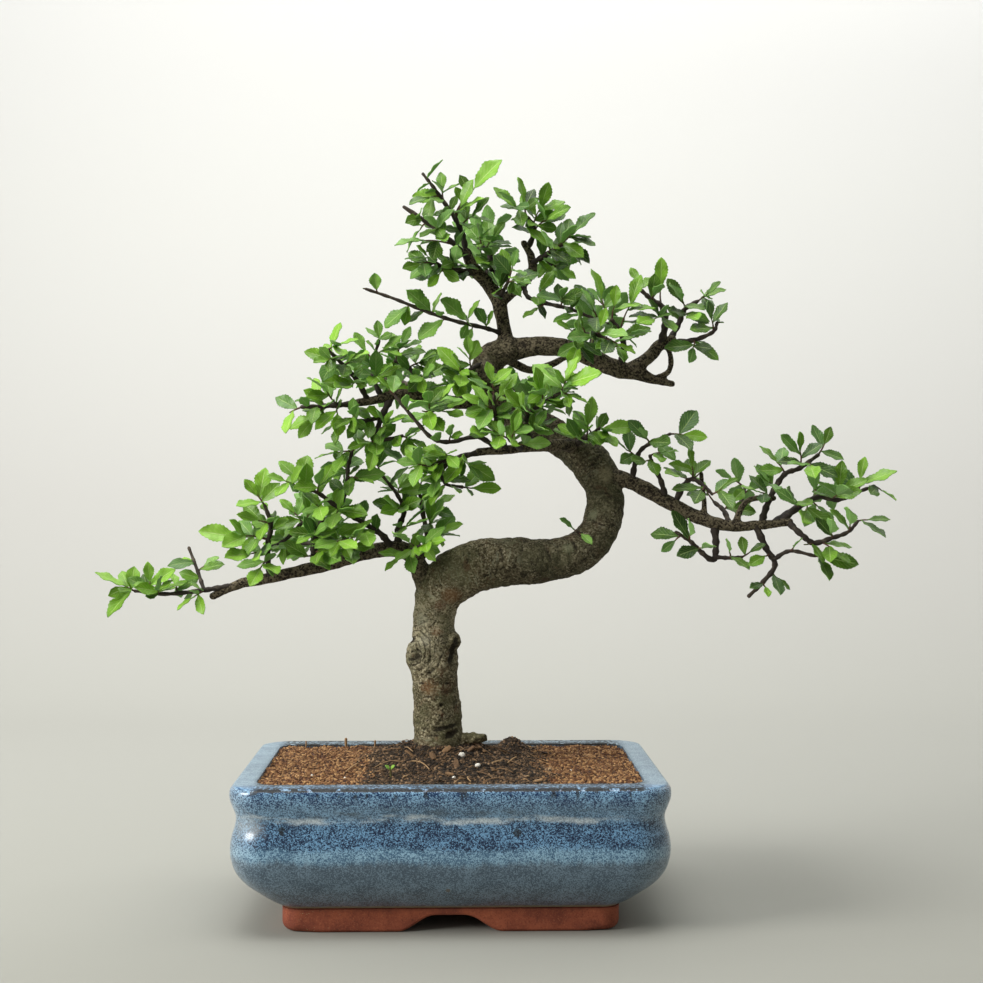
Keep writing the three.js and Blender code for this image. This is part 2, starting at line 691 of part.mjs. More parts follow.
function toSolid(geometry) {
  const bare = geometry.clone()
  bare.deleteAttribute('normal')
  bare.deleteAttribute('uv')
  const merged = mergeVertices(bare, 1e-4)
  const vertProperties = new Float32Array(merged.attributes.position.array)
  const triVerts = new Uint32Array(merged.index.array)
  return new wasm.Manifold(new wasm.Mesh({ numProp: 3, vertProperties, triVerts }))
}

function addPiece(name, solid, material) {
  const { vertProperties, triVerts } = solid.getMesh()
  const geometry = new THREE.BufferGeometry()
  geometry.setAttribute('position', new THREE.BufferAttribute(vertProperties, 3))
  geometry.setIndex(new THREE.BufferAttribute(triVerts, 1))
  geometry.computeVertexNormals()
  const mesh = new THREE.Mesh(geometry, material)
  mesh.name = name
  group.add(mesh)
}

// The one body that is left when loose scraps are dropped
function largestBody(solid) {
  const bodies = solid.decompose()
  bodies.sort((one, other) => other.volume() - one.volume())
  return bodies[0]
}

// Rounded rectangle at a height, the same number of points whatever its size
function roundedRing([height, halfLength, halfDepth, corner]) {
  const points = []
  for (let quarter = 0; quarter < 4; quarter += 1) {
    const signX = quarter === 0 || quarter === 3 ? 1 : -1
    const signY = quarter < 2 ? 1 : -1
    for (let step = 0; step <= CORNER_STEPS; step += 1) {
      const angle = (quarter + step / CORNER_STEPS) * Math.PI / 2
      const x = signX * (halfLength - corner) + corner * Math.cos(angle)
      const y = signY * (halfDepth - corner) + corner * Math.sin(angle)
      points.push(new THREE.Vector3(x, y, height))
    }
  }
  return points
}

// Oval with the same number of points as a rounded ring, evenly round it
function ovalRing(halfLength, halfDepth) {
  const count = 4 * (CORNER_STEPS + 1)
  const points = []
  for (let step = 0; step < count; step += 1) {
    const angle = 2 * Math.PI * (step + 0.5) / count
    points.push(new THREE.Vector3(halfLength * Math.cos(angle), halfDepth * Math.sin(angle), 0))
  }
  return points
}

// Ogee arch of the foot, drawn upright in its wall
function archShape({ middle, top, foot, height }) {
  const shape = new THREE.Shape()
  shape.moveTo(middle - foot, -1)
  for (let step = 0; step <= ARCH_STEPS; step += 1) {
    const share = step / ARCH_STEPS
    shape.lineTo(middle - foot + (foot - top) * share, height * (1 - Math.cos(Math.PI * share)) / 2)
  }
  for (let step = ARCH_STEPS; step >= 0; step -= 1) {
    const share = step / ARCH_STEPS
    shape.lineTo(middle + foot - (foot - top) * share, height * (1 - Math.cos(Math.PI * share)) / 2)
  }
  shape.lineTo(middle + foot, -1)
  return shape
}

function archCut(arch, length, turn) {
  const geometry = new THREE.ExtrudeGeometry(archShape(arch), { depth: length, bevelEnabled: false })
  geometry.translate(0, 0, -length / 2)
  geometry.rotateX(Math.PI / 2)
  geometry.rotateZ(turn)
  return toSolid(geometry)
}

function drainHole(x) {
  const hole = new THREE.CylinderGeometry(DRAIN_HOLE_RADIUS, DRAIN_HOLE_RADIUS, 30, 16)
  hole.rotateX(Math.PI / 2)
  hole.translate(x, 0, 15)
  return toSolid(hole)
}

function makePot() {
  const wall = toSolid(loft([...POT_OUTSIDE, ...POT_INSIDE].map(roundedRing)))
  const inset = FOOT_ROUNDING
  const foot = toSolid(loft([
    [0, FOOT_HALF_LENGTH - inset, FOOT_HALF_DEPTH - inset, FOOT_CORNER - inset],
    [inset, FOOT_HALF_LENGTH, FOOT_HALF_DEPTH, FOOT_CORNER],
    [FOOT_HEIGHT, FOOT_HALF_LENGTH, FOOT_HALF_DEPTH, FOOT_CORNER],
  ].map(roundedRing)))
  const recessHalfLength = FOOT_HALF_LENGTH - FOOT_WALL
  const recessHalfDepth = FOOT_HALF_DEPTH - FOOT_WALL
  const recess = toSolid(loft([
    [-1, recessHalfLength, recessHalfDepth, FOOT_RECESS_CORNER],
    [FOOT_RECESS_HEIGHT, recessHalfLength, recessHalfDepth, FOOT_RECESS_CORNER],
  ].map(roundedRing)))
  const arches = [
    archCut(FRONT_ARCH, 3 * FOOT_HALF_DEPTH, 0),
    archCut(END_ARCH, 3 * FOOT_HALF_LENGTH, Math.PI / 2),
  ]
  const holes = [drainHole(-DRAIN_HOLE_X), drainHole(DRAIN_HOLE_X)]
  const footRing = wasm.Manifold.difference([foot, recess, ...arches])
  return wasm.Manifold.difference([wall.add(footRing), ...holes])
}

// Squares of mesh that lie over the drain holes
function makeScreen(x) {
  const floor = POT_INSIDE.at(-1)[0] + SEAT_GAP / 3
  const bars = []
  const spacing = (2 * SCREEN_HALF - SCREEN_BAR_WIDTH) / (SCREEN_BARS - 1)
  for (let bar = 0; bar < SCREEN_BARS; bar += 1) {
    const offset = -SCREEN_HALF + SCREEN_BAR_WIDTH / 2 + bar * spacing
    const along = new THREE.BoxGeometry(2 * SCREEN_HALF, SCREEN_BAR_WIDTH, SCREEN_THICKNESS)
    const across = new THREE.BoxGeometry(SCREEN_BAR_WIDTH, 2 * SCREEN_HALF, SCREEN_THICKNESS)
    along.translate(x, offset, floor + SCREEN_THICKNESS / 2)
    across.translate(x + offset, 0, floor + SCREEN_THICKNESS / 2)
    bars.push(toSolid(along), toSolid(across))
  }
  return wasm.Manifold.union(bars)
}

function soilHeight(x, y) {
  const mound = SOIL_MOUND
  const lump = SOIL_LUMP
  const mx = (x - mound.x) / mound.halfLength
  const my = (y - mound.y) / mound.halfDepth
  const rise = mound.height * Math.exp(-(mx * mx + my * my))
  const bump = lump.height * Math.exp(-((x - lump.x) ** 2 + (y - lump.y) ** 2) / lump.radius ** 2)
  const relief = 0.7 * Math.sin(x / 7.3) * Math.cos(y / 6.1) + 0.4 * Math.sin(x / 3.1 + y / 4.7)
  return SOIL_WALL_LEVEL + rise + bump + relief
}

function makeSoil(holes) {
  const rings = [...POT_INSIDE].reverse().filter(([height]) => height < SOIL_WALL_LEVEL - 2)
  const inset = SEAT_GAP + 0.1
  const walls = rings.map(([height, halfLength, halfDepth, corner], index) =>
    roundedRing([index ? height : height + SEAT_GAP, halfLength - inset, halfDepth - inset, corner]))
  const [, halfLength, halfDepth, corner] = rings.at(-1)
  const edgeLength = halfLength - 1 - inset
  const edgeDepth = halfDepth - 2 - inset
  const edge = roundedRing([SOIL_WALL_LEVEL, edgeLength, edgeDepth, corner - 1])
  const ovals = SOIL_OVALS.map((share) => ovalRing(edgeLength * share, edgeDepth * share))
  const top = [edge, ...ovals].map((ring) => ring.map(({ x, y }) => new THREE.Vector3(x, y, soilHeight(x, y))))
  return wasm.Manifold.difference([toSolid(loft([...walls, ...top])), ...holes])
}

// Stem along a route: a ring of sides at each of its stations, fatter by a clearance where a hole is cut
function stemCurve(route) {
  return new THREE.CatmullRomCurve3(route.map(place), false, 'catmullrom', 0.5)
}

function radiusAt(route, station) {
  const index = Math.min(Math.floor(station), route.length - 2)
  return THREE.MathUtils.lerp(route[index][3], route[index + 1][3], station - index)
}

function tube(centres, radii, sides, swelling = () => 1) {
  const tangents = centres.map((centre, index) => {
    const next = centres[Math.min(index + 1, centres.length - 1)]
    const before = centres[Math.max(index - 1, 0)]
    return next.clone().sub(before).normalize()
  })
  const across = new THREE.Vector3(0, 1, 0)
  const rings = centres.map((centre, index) => {
    across.addScaledVector(tangents[index], -across.dot(tangents[index])).normalize()
    const upright = tangents[index].clone().cross(across)
    const points = []
    for (let side = 0; side < sides; side += 1) {
      const angle = 2 * Math.PI * side / sides
      const radius = radii[index] * swelling(angle, index)
      points.push(centre.clone()
        .addScaledVector(across, radius * Math.cos(angle))
        .addScaledVector(upright, radius * Math.sin(angle)))
    }
    return points
  })
  return toSolid(loft(rings))
}

function stem(route, sides, stepsPerSpan, clearance = 0, swelling = undefined) {
  const curve = stemCurve(route)
  const last = route.length - 1
  const centres = []
  const radii = []
  for (let step = 0; step <= last * stepsPerSpan; step += 1) {
    const station = step / stepsPerSpan
    centres.push(curve.getPoint(station / last))
    radii.push(radiusAt(route, station) + clearance)
  }
  if (clearance) {
    const end = centres.at(-1)
    end.addScaledVector(end.clone().sub(centres.at(-2)).normalize(), clearance)
  }
  return tube(centres, radii, sides, swelling)
}

// Swelling of the old bark round the trunk
function gnarl(angle, ring) {
  return 1 + 0.05 * Math.sin(2 * angle + 1.3 * ring) + 0.035 * Math.sin(3 * angle - 0.7 * ring)
}

function makeWood(clearance) {
  const stems = Object.values(BRANCHES).map(({ sides, route }) => stem(route, sides, 1, clearance))
  const scars = TRUNK_SCARS.map(([across, down, depth, ...halfSizes]) => {
    const scar = new THREE.IcosahedronGeometry(1, 1)
    scar.scale(...halfSizes.map((size) => size + clearance))
    const { x, y, z } = place([across, down, depth])
    scar.translate(x, y, z)
    return toSolid(scar)
  })
  return wasm.Manifold.union([stem(TRUNK, TRUNK_SIDES, 1, clearance, gnarl), ...stems, ...scars])
}

// Repeatable draws between 0 and 1
function drawsFrom(seed) {
  let state = seed * 7919 + 104729
  const draw = () => {
    state = (state * 1664525 + 1013904223) % 4294967296
    return state / 4294967296
  }
  draw()
  draw()
  return draw
}

// Half width of a blade at a share of its length
function bladeHalfWidth(leaf, share) {
  if (share <= 0 || share >= 1) {
    return 0
  }
  return leaf.width / 2 * Math.sin(Math.PI * share ** 1.25) ** 0.8
}

// Place on a blade's middle surface, at a share of its length and a distance to its side
function bladePoint(leaf, share, sideways) {
  const rise = leaf.fold * Math.abs(sideways) - leaf.arch * leaf.length * share * share
  return leaf.base.clone()
    .addScaledVector(leaf.axis, leaf.length * share)
    .addScaledVector(leaf.side, sideways)
    .addScaledVector(leaf.normal, rise)
}

// Points that stand for a blade when it is tested against its neighbours
function bladeSamples(leaf) {
  const samples = []
  for (let step = 1; step <= 10; step += 1) {
    const share = 0.1 + 0.09 * step
    const halfWidth = bladeHalfWidth(leaf, share)
    samples.push(bladePoint(leaf, share, halfWidth), bladePoint(leaf, share, -halfWidth))
    samples.push(bladePoint(leaf, share, 0))
  }
  return samples
}

// True where a point lies on or close to a blade
function nearBlade(leaf, point, clearance) {
  const offset = point.clone().sub(leaf.base)
  const share = offset.dot(leaf.axis) / leaf.length
  if (share < 0.05 || share > 1.03) {
    return false
  }
  const sideways = offset.dot(leaf.side)
  if (Math.abs(sideways) > bladeHalfWidth(leaf, Math.min(share, 0.97)) + 0.6) {
    return false
  }
  const rise = leaf.fold * Math.abs(sideways) - leaf.arch * leaf.length * share * share
  return Math.abs(offset.dot(leaf.normal) - rise) < clearance
}

function nearSegment(segment, point, clearance) {
  const offset = point.clone().sub(segment.start)
  const along = THREE.MathUtils.clamp(offset.dot(segment.run) / segment.run.lengthSq(), 0, 1)
  return offset.addScaledVector(segment.run, -along).length() < segment.radius + clearance
}

// The stems that leaves keep clear of
function stemSegments(route) {
  const curve = stemCurve(route)
  const last = route.length - 1
  const segments = []
  for (let step = 0; step < last * 2; step += 1) {
    const start = curve.getPoint(step / 2 / last)
    const end = curve.getPoint((step + 1) / 2 / last)
    segments.push({ start, run: end.sub(start), radius: radiusAt(route, step / 2) })
  }
  return segments
}

// A shoot runs from the middle of its branchlet towards the tip of its last leaf
function growShoot(route, [station, across, down, depth, leaves, size = LEAF_SIZE], seed) {
  const curve = stemCurve(route)
  const last = route.length - 1
  const start = curve.getPoint(station / last)
  const reach = place([across, down, depth])
  const run = reach.clone().sub(start)
  const shortest = leaves > 1 ? radiusAt(route, station) + 2.2 * leaves : radiusAt(route, station) + 1
  const length = Math.max(run.length() - 0.95 * size, shortest)
  const direction = run.clone().normalize()
  const tangent = curve.getPoint(Math.min(station + 0.01, last) / last)
    .sub(curve.getPoint((Math.min(station + 0.01, last) - 0.01) / last)).normalize()
  const end = start.clone().addScaledVector(direction, length)
  const bend = start.clone().addScaledVector(direction, 0.5 * length).addScaledVector(tangent, 0.15 * length)
  const draw = drawsFrom(seed)
  const hand = draw() < 0.5 ? 1 : -1
  const bow = new THREE.QuadraticBezierCurve3(start, bend, end)
  return { start, end, length, leaves, size, draw, reach, hand, curve: bow }
}

function shootSegments(shoot) {
  const segments = []
  for (let step = 0; step < 3; step += 1) {
    const start = shoot.curve.getPoint(step / 3)
    const end = shoot.curve.getPoint((step + 1) / 3)
    segments.push({ start, run: end.sub(start), radius: SHOOT_RADIUS, shoot })
  }
  return segments
}

// Way in which the upper face of a leaf turns, towards the light above and outwards
function lightSide(point) {
  const front = point.y < 18 ? -0.65 : 0.65
  return new THREE.Vector3(0.12 * Math.sign(point.x), front, 0.75).normalize()
}

function growLeaf(shoot, rank, broad) {
  const { leaves, size, draw, curve } = shoot
  const index = leaves - 1 - rank
  const terminal = rank === 0
  const share = leaves > 1 ? 0.3 + 0.7 * index / (leaves - 1) : 1
  const base = curve.getPoint(share)
  const along = terminal ? shoot.reach.clone().sub(base) : shoot.end.clone().sub(shoot.start)
  along.normalize()
  const light = lightSide(base)
  const up = light.clone().addScaledVector(along, -light.dot(along)).normalize()
  const sideways = along.clone().cross(up).multiplyScalar(shoot.hand * (index % 2 ? -1 : 1))
  const spread = terminal ? 14 * (draw() - 0.5) : 68 - 26 * index / (leaves - 1) + 26 * (draw() - 0.5)
  const lift = (terminal ? 12 : 34) * (draw() - 0.5)
  const spreadAngle = THREE.MathUtils.degToRad(spread)
  const liftAngle = THREE.MathUtils.degToRad(lift)
  const axis = along.clone().multiplyScalar(Math.cos(spreadAngle))
    .addScaledVector(sideways, Math.sin(spreadAngle)).multiplyScalar(Math.cos(liftAngle))
    .addScaledVector(up, Math.sin(liftAngle)).normalize()
  const room = shoot.reach.distanceTo(base)
  const wanted = size * ((terminal ? 0.92 : 0.76) + 0.26 * draw())
  const longest = terminal ? Math.max(1.05 * room, 0.62 * size) : wanted
  const length = leaves > 1 ? Math.min(wanted, longest) : room
  const width = length * (broad + 0.1 * draw())
  const tilt = THREE.MathUtils.degToRad(70 * (draw() - 0.5))
  const flat = light.clone().addScaledVector(axis, -light.dot(axis)).normalize()
  const normal = flat.multiplyScalar(Math.cos(tilt))
    .addScaledVector(axis.clone().cross(flat.clone().normalize()), Math.sin(tilt)).normalize()
  const side = normal.clone().cross(axis)
  return { base, axis, normal, side, length, width, arch: 0.22 * draw() - 0.03, fold: 0.1 + 0.2 * draw() }
}

// True where a leaf would touch another leaf, or a stem other than its own shoot
function leafIsBlocked(leaf, shoot, leaves, segments) {
  const middle = bladePoint(leaf, 0.5, 0)
  const samples = bladeSamples(leaf)
  const nearLeaves = leaves.filter((other) =>
    other.middle.distanceTo(middle) < (leaf.length + other.length) / 2 + 3)
  for (const other of nearLeaves) {
    const start = other.shoot === shoot ? 6 : 0
    if (samples.slice(start).some((point) => nearBlade(other, point, 1.3))) {
      return true
    }
    if (other.samples.slice(start).some((point) => nearBlade(leaf, point, 1.3))) {
      return true
    }
  }
  return segments.some((segment) => {
    const reach = leaf.length / 2 + segment.run.length() / 2 + 5
    if (segment.start.clone().addScaledVector(segment.run, 0.5).distanceTo(middle) > reach) {
      return false
    }
    const start = segment.shoot === shoot ? 12 : 0
    return samples.slice(start).some((point) => nearSegment(segment, point, 0.8))
  })
}

// All shoots first, then the leaves from the tips inwards, each where it has room
function growLeaves() {
  const segments = [...Object.values(BRANCHES).map(({ route }) => route), TRUNK].flatMap(stemSegments)
  const shoots = []
  Object.entries(FOLIAGE).forEach(([name, branchlets], spray) => {
    branchlets.forEach(([route, rows, broad = 0.48], branchlet) => {
      segments.push(...stemSegments(route))
      rows.forEach((row, index) => {
        const shoot = growShoot(route, row, 1000 * spray + 100 * branchlet + index)
        shoots.push(Object.assign(shoot, { name, broad }))
      })
    })
  })
  shoots.forEach((shoot) => segments.push(...shootSegments(shoot)))
  const leaves = []
  for (let rank = 0; rank < 4; rank += 1) {
    for (const shoot of shoots.filter((one) => one.leaves > rank)) {
      for (let attempt = 0; attempt < LEAF_TRIES; attempt += 1) {
        const leaf = growLeaf(shoot, rank, shoot.broad)
        if (!leafIsBlocked(leaf, shoot, leaves, segments)) {
          const middle = bladePoint(leaf, 0.5, 0)
          leaves.push(Object.assign(leaf, { shoot, rank, middle, samples: bladeSamples(leaf) }))
          break
        }
      }
    }
  }
  return leaves
}

// Rows of a leaf from its root to the last station before its tip: middle, side, normal and half sizes
function leafRows(leaf, shoot) {
  const { side, normal } = leaf
  const rows = []
  const addRow = (middle, halfWidth, halfThickness) => {
    rows.push({ middle, side, normal, halfWidth, halfThickness })
  }
  if (shoot) {
    addRow(shoot.start, SHOOT_RADIUS, SHOOT_RADIUS)
  }
  if (!shoot || shoot.length > LONG_SHOOT) {
    addRow(leaf.base, PETIOLE_HALF_WIDTH, LEAF_THICKNESS / 2)
  }
  for (const share of LEAF_STATIONS) {
    const halfWidth = FACET_ALLOWANCE * bladeHalfWidth(leaf, share)
    const middle = bladePoint(leaf, share, 0).addScaledVector(normal, leaf.fold * halfWidth / 2)
    addRow(middle, halfWidth, LEAF_THICKNESS / 2)
  }
  return rows
}

// A blade of even thickness, arched along its length, with its shoot where it ends one
function makeLeaf(leaf, shoot) {
  const rows = leafRows(leaf, shoot)
  const points = rows.flatMap(({ middle, side, normal, halfWidth, halfThickness }) =>
    [[-1, 1], [-1, -1], [1, 1], [1, -1]].map(([hand, face]) => middle.clone()
      .addScaledVector(side, hand * halfWidth)
      .addScaledVector(normal, face * halfThickness)))
  points.push(bladePoint(leaf, 1, 0))
  const faces = [[0, 2, 3], [0, 3, 1]]
  const lastRow = 4 * (rows.length - 1)
  for (let row = 0; row < lastRow; row += 4) {
    const [rightTop, rightUnder, leftTop, leftUnder] = [row, row + 1, row + 2, row + 3]
    faces.push([rightTop, rightTop + 4, leftTop + 4], [rightTop, leftTop + 4, leftTop])
    faces.push([rightUnder, leftUnder + 4, rightUnder + 4], [rightUnder, leftUnder, leftUnder + 4])
    faces.push([rightUnder, rightUnder + 4, rightTop + 4], [rightUnder, rightTop + 4, rightTop])
    faces.push([leftUnder, leftTop, leftTop + 4], [leftUnder, leftTop + 4, leftUnder + 4])
  }
  const [right, left, tip] = [lastRow, lastRow + 2, lastRow + 4]
  faces.push([right, tip, left], [right + 1, left + 1, tip], [right + 1, tip, right], [left + 1, left, tip])
  return toSolid(surface(points, faces))
}

function touches(solid, others) {
  const box = solid.boundingBox()
  return others.some(({ solid: other, box: otherBox }) => {
    const apart = [0, 1, 2].some((axis) =>
      box.min[axis] > otherBox.max[axis] || box.max[axis] < otherBox.min[axis])
    return !apart && !solid.intersect(other).isEmpty()
  })
}

// Each spray is one grown body: branchlets, shoots and the leaves sunk into them
function makeSprays(woodRoom) {
  const leaves = growLeaves()
  const names = Object.keys(FOLIAGE)
  const built = []
  const keep = (name, solid) => built.push({ name, solid, box: solid.boundingBox() })
  const others = (name) => built.filter((one) => one.name !== name)
  for (const name of names) {
    for (const [route] of FOLIAGE[name]) {
      keep(name, stem(route, BRANCHLET_SIDES, 1).subtract(woodRoom))
    }
  }
  for (const leaf of leaves.filter(({ rank }) => rank === 0)) {
    const blade = makeLeaf(leaf, leaf.shoot)
    if (!touches(blade, others(leaf.shoot.name))) {
      keep(leaf.shoot.name, blade)
    }
  }
  for (const name of names) {
    const parts = built.filter((one) => one.name === name).map(({ solid }) => solid)
    addPiece(name, largestBody(wasm.Manifold.union(parts).subtract(woodRoom)), foliage)
  }
}

function makeGrain({ x, y, halfSizes }, clearance) {
  const grain = new THREE.IcosahedronGeometry(1, 0)
  grain.scale(...halfSizes.map((size) => size + clearance))
  grain.rotateZ(x)
  grain.translate(x, y, soilHeight(x, y) + halfSizes[2] * 0.5)
  return toSolid(grain)
}

// Seedling: a stem that stands in the soil and two seed leaves
function seedlingParts(clearance) {
  const { x, y } = place([SEEDLING.across, SEEDLING.down, SEEDLING.depth])
  const ground = soilHeight(x, y)
  const foot = new THREE.Vector3(x, y, ground - 4)
  const top = new THREE.Vector3(x, y, ground + SEEDLING.height)
  const radius = SEEDLING.stemRadius + clearance
  const stalk = tube([foot, top], [radius, radius], 5)
  const leaves = [-1, 1].map((hand) => {
    const axis = new THREE.Vector3(hand, -0.3, 1.1).normalize()
    const normal = new THREE.Vector3(0, -0.5, 1)
    normal.addScaledVector(axis, -normal.dot(axis)).normalize()
    const side = normal.clone().cross(axis)
    const base = top.clone().setZ(top.z - 0.8)
    return makeLeaf({ base, axis, normal, side, length: SEEDLING.leafLength, width: 2.6, arch: 0.1, fold: 0 })
  })
  return { stalk, leaves }
}

const wood = makeWood(0)
const woodRoom = makeWood(WOOD_GAP)
const screens = [makeScreen(-DRAIN_HOLE_X), makeScreen(DRAIN_HOLE_X)]
const screenRooms = [-DRAIN_HOLE_X, DRAIN_HOLE_X].map((x) => {
  const half = SCREEN_HALF + SEAT_GAP
  const height = 2 * (SCREEN_THICKNESS + 2 * SEAT_GAP)
  const box = new THREE.BoxGeometry(2 * half, 2 * half, height)
  box.translate(x, 0, POT_INSIDE.at(-1)[0])
  return toSolid(box)
})
const seedling = seedlingParts(0)

addPiece('pot', makePot(), glaze)
addPiece('soil', makeSoil([
  woodRoom,
  ...screenRooms,
  seedlingParts(SEAT_GAP).stalk,
  ...PERLITE.map((grain) => makeGrain(grain, SEAT_GAP)),
]), earth)
addPiece('tree_wood', largestBody(wood), bark)
addPiece('drain_screen_left', screens[0], plastic)
addPiece('drain_screen_right', screens[1], plastic)
addPiece('seedling', wasm.Manifold.union([seedling.stalk, ...seedling.leaves]), foliage)
PERLITE.forEach((grain, index) => addPiece(`perlite_${index + 1}`, makeGrain(grain, 0), perlite))
makeSprays(woodRoom)

// The whole stands on the middle of its own box
const box = new THREE.Box3().setFromObject(group)
const middle = box.getCenter(new THREE.Vector3())
group.position.set(-middle.x, -middle.y, -box.min.z)

export default group
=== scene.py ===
"""Chinese elm bonsai in its glazed pot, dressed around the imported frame.

Sizes are in millimetres in the tables and formulas, and in metres in the finished meshes.
"""

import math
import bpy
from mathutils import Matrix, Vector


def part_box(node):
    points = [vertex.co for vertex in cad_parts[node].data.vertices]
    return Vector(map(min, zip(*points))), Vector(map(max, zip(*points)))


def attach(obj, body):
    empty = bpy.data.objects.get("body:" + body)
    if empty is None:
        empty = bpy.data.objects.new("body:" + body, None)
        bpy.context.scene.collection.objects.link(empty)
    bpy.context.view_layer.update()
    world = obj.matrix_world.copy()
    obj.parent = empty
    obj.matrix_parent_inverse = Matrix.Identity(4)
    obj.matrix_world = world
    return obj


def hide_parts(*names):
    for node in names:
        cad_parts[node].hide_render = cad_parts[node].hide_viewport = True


bl_info = {
    "name": "Chinese elm bonsai",
    "version": (1, 0, 0),
    "blender": (4, 5, 0),
    "location": "View3D > Sidebar > Bonsai",
    "description": "Grows the wood, leaves, soil and glazed pot of a chinese elm bonsai",
    "category": "Object",
}

from types import SimpleNamespace

import bpy
import numpy as np
from mathutils import Vector, noise

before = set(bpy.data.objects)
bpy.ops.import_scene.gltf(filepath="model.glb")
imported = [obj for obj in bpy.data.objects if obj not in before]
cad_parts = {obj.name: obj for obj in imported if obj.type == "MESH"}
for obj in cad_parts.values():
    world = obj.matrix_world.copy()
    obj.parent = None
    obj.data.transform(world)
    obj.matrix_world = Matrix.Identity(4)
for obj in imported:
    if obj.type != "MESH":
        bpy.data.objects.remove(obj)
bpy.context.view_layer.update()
POT_LOW, POT_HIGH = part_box("pot")

MM = 0.001
POT_MIDDLE_X = (POT_LOW[0] + POT_HIGH[0]) / 2 / MM
POT_MIDDLE_Y = (POT_LOW[1] + POT_HIGH[1]) / 2 / MM

# Front view in which every branch was read off: across and down are counted on it, depth is in millimetres
VIEW_MIDDLE = 491.5
VIEW_FOCUS = 1611
VIEW_TURN = math.radians(1.3)
EYE = np.array((2.1, -928.8, 236.0))
IMAGE_WIDTH = 983
SENSOR_WIDTH = 36.0

# Pot: height, half length, half depth and corner radius of each level of the glazed wall
POT_OUTSIDE = [
    (10, 89.8, 64.8, 9), (12.4, 90, 65, 9.2), (13.5, 91.1, 66.1, 10), (16, 97, 69.6, 15),
    (20, 103.6, 74, 20), (25.5, 110.4, 79, 22), (32, 115.3, 82.3, 22), (39, 117.7, 84.2, 22),
    (45.5, 118.3, 84.6, 22), (52, 117.4, 83.8, 21), (58, 115.6, 82.4, 20), (63, 115, 81.8, 18),
    (68.5, 116.7, 83.3, 18), (73, 118, 84.5, 18), (77.5, 117.8, 84.3, 18), (79.4, 116.4, 83, 18),
    (80, 114.5, 81.2, 17),
]
POT_INSIDE = [
    (80, 106, 69.5, 12), (78.8, 104.5, 68, 11), (62, 105.5, 70, 12.5), (45, 109, 75, 14), (30, 103, 71, 18),
    (22.5, 96, 65, 22), (19.5, 92, 61, 24),
]
FOOT_HALF_LENGTH = 91
FOOT_HALF_DEPTH = 66
FOOT_CORNER = 10
FOOT_TOP = 12.5
FOOT_WALL = 12.5
FOOT_RECESS_TOP = 11
POT_SHARP = math.radians(48)
FOOT_ROUNDING = 2.2
FOOT_END_ROUNDING = 2.6
GLAZE_EDGE = 13.2
FRONT_ARCH = {"middle": -0.5, "top": 7.5, "foot": 28.5, "height": 9}
END_ARCH = {"middle": 0, "top": 5, "foot": 17, "height": 7}
DRAIN_HOLE_X = 45
DRAIN_HOLE_RADIUS = 7

# Soil: level at the wall, mound at the trunk and a lump at the back
SOIL_WALL_LEVEL = 78.2
SOIL_MOUND = {"x": -7, "y": 0, "height": 15.5, "half_length": 42, "half_depth": 34}
SOIL_LUMP = {"x": 37, "y": 50, "height": 8, "radius": 7.5}

# Each route lists across, down, depth and radius of the stem at that point
TRUNK = [
    (438, 850, 0, 20), (438, 800, 0, 19), (438, 758, 0, 16.5), (438.7, 740, 0, 14.4), (438.3, 720, 0, 13.7),
    (436.3, 695, 0, 13.3), (434.6, 670, 0, 13.3), (433.5, 648, 0, 13.5), (434.8, 626, 0, 11.9),
    (435.5, 607, -1, 12.2), (443.5, 587, -3, 14), (463, 571, -6, 15), (490, 563.5, -8, 14.4),
    (520, 561.5, -9, 13.2), (550, 560, -9, 12), (578, 552.5, -8, 11.4), (597, 534, -6, 10.8),
    (605, 510, -3, 10.7), (603, 487, 1, 10.8), (592, 465, 4, 11.5), (572, 447, 8, 10.2), (548, 432, 12, 9.6),
    (521, 418, 14, 9.4), (497, 400, 12, 9.3), (486, 378, 7, 9.2), (492, 358, 2, 8.6), (510, 349, -2, 7.2),
]

# Healed branch scars on the trunk: across, down, depth and the three half widths
TRUNK_SCARS = [(419, 655, -1, 8, 9, 12), (450, 641, -3, 6.5, 8, 7), (487, 374, -2, 7, 9, 10)]

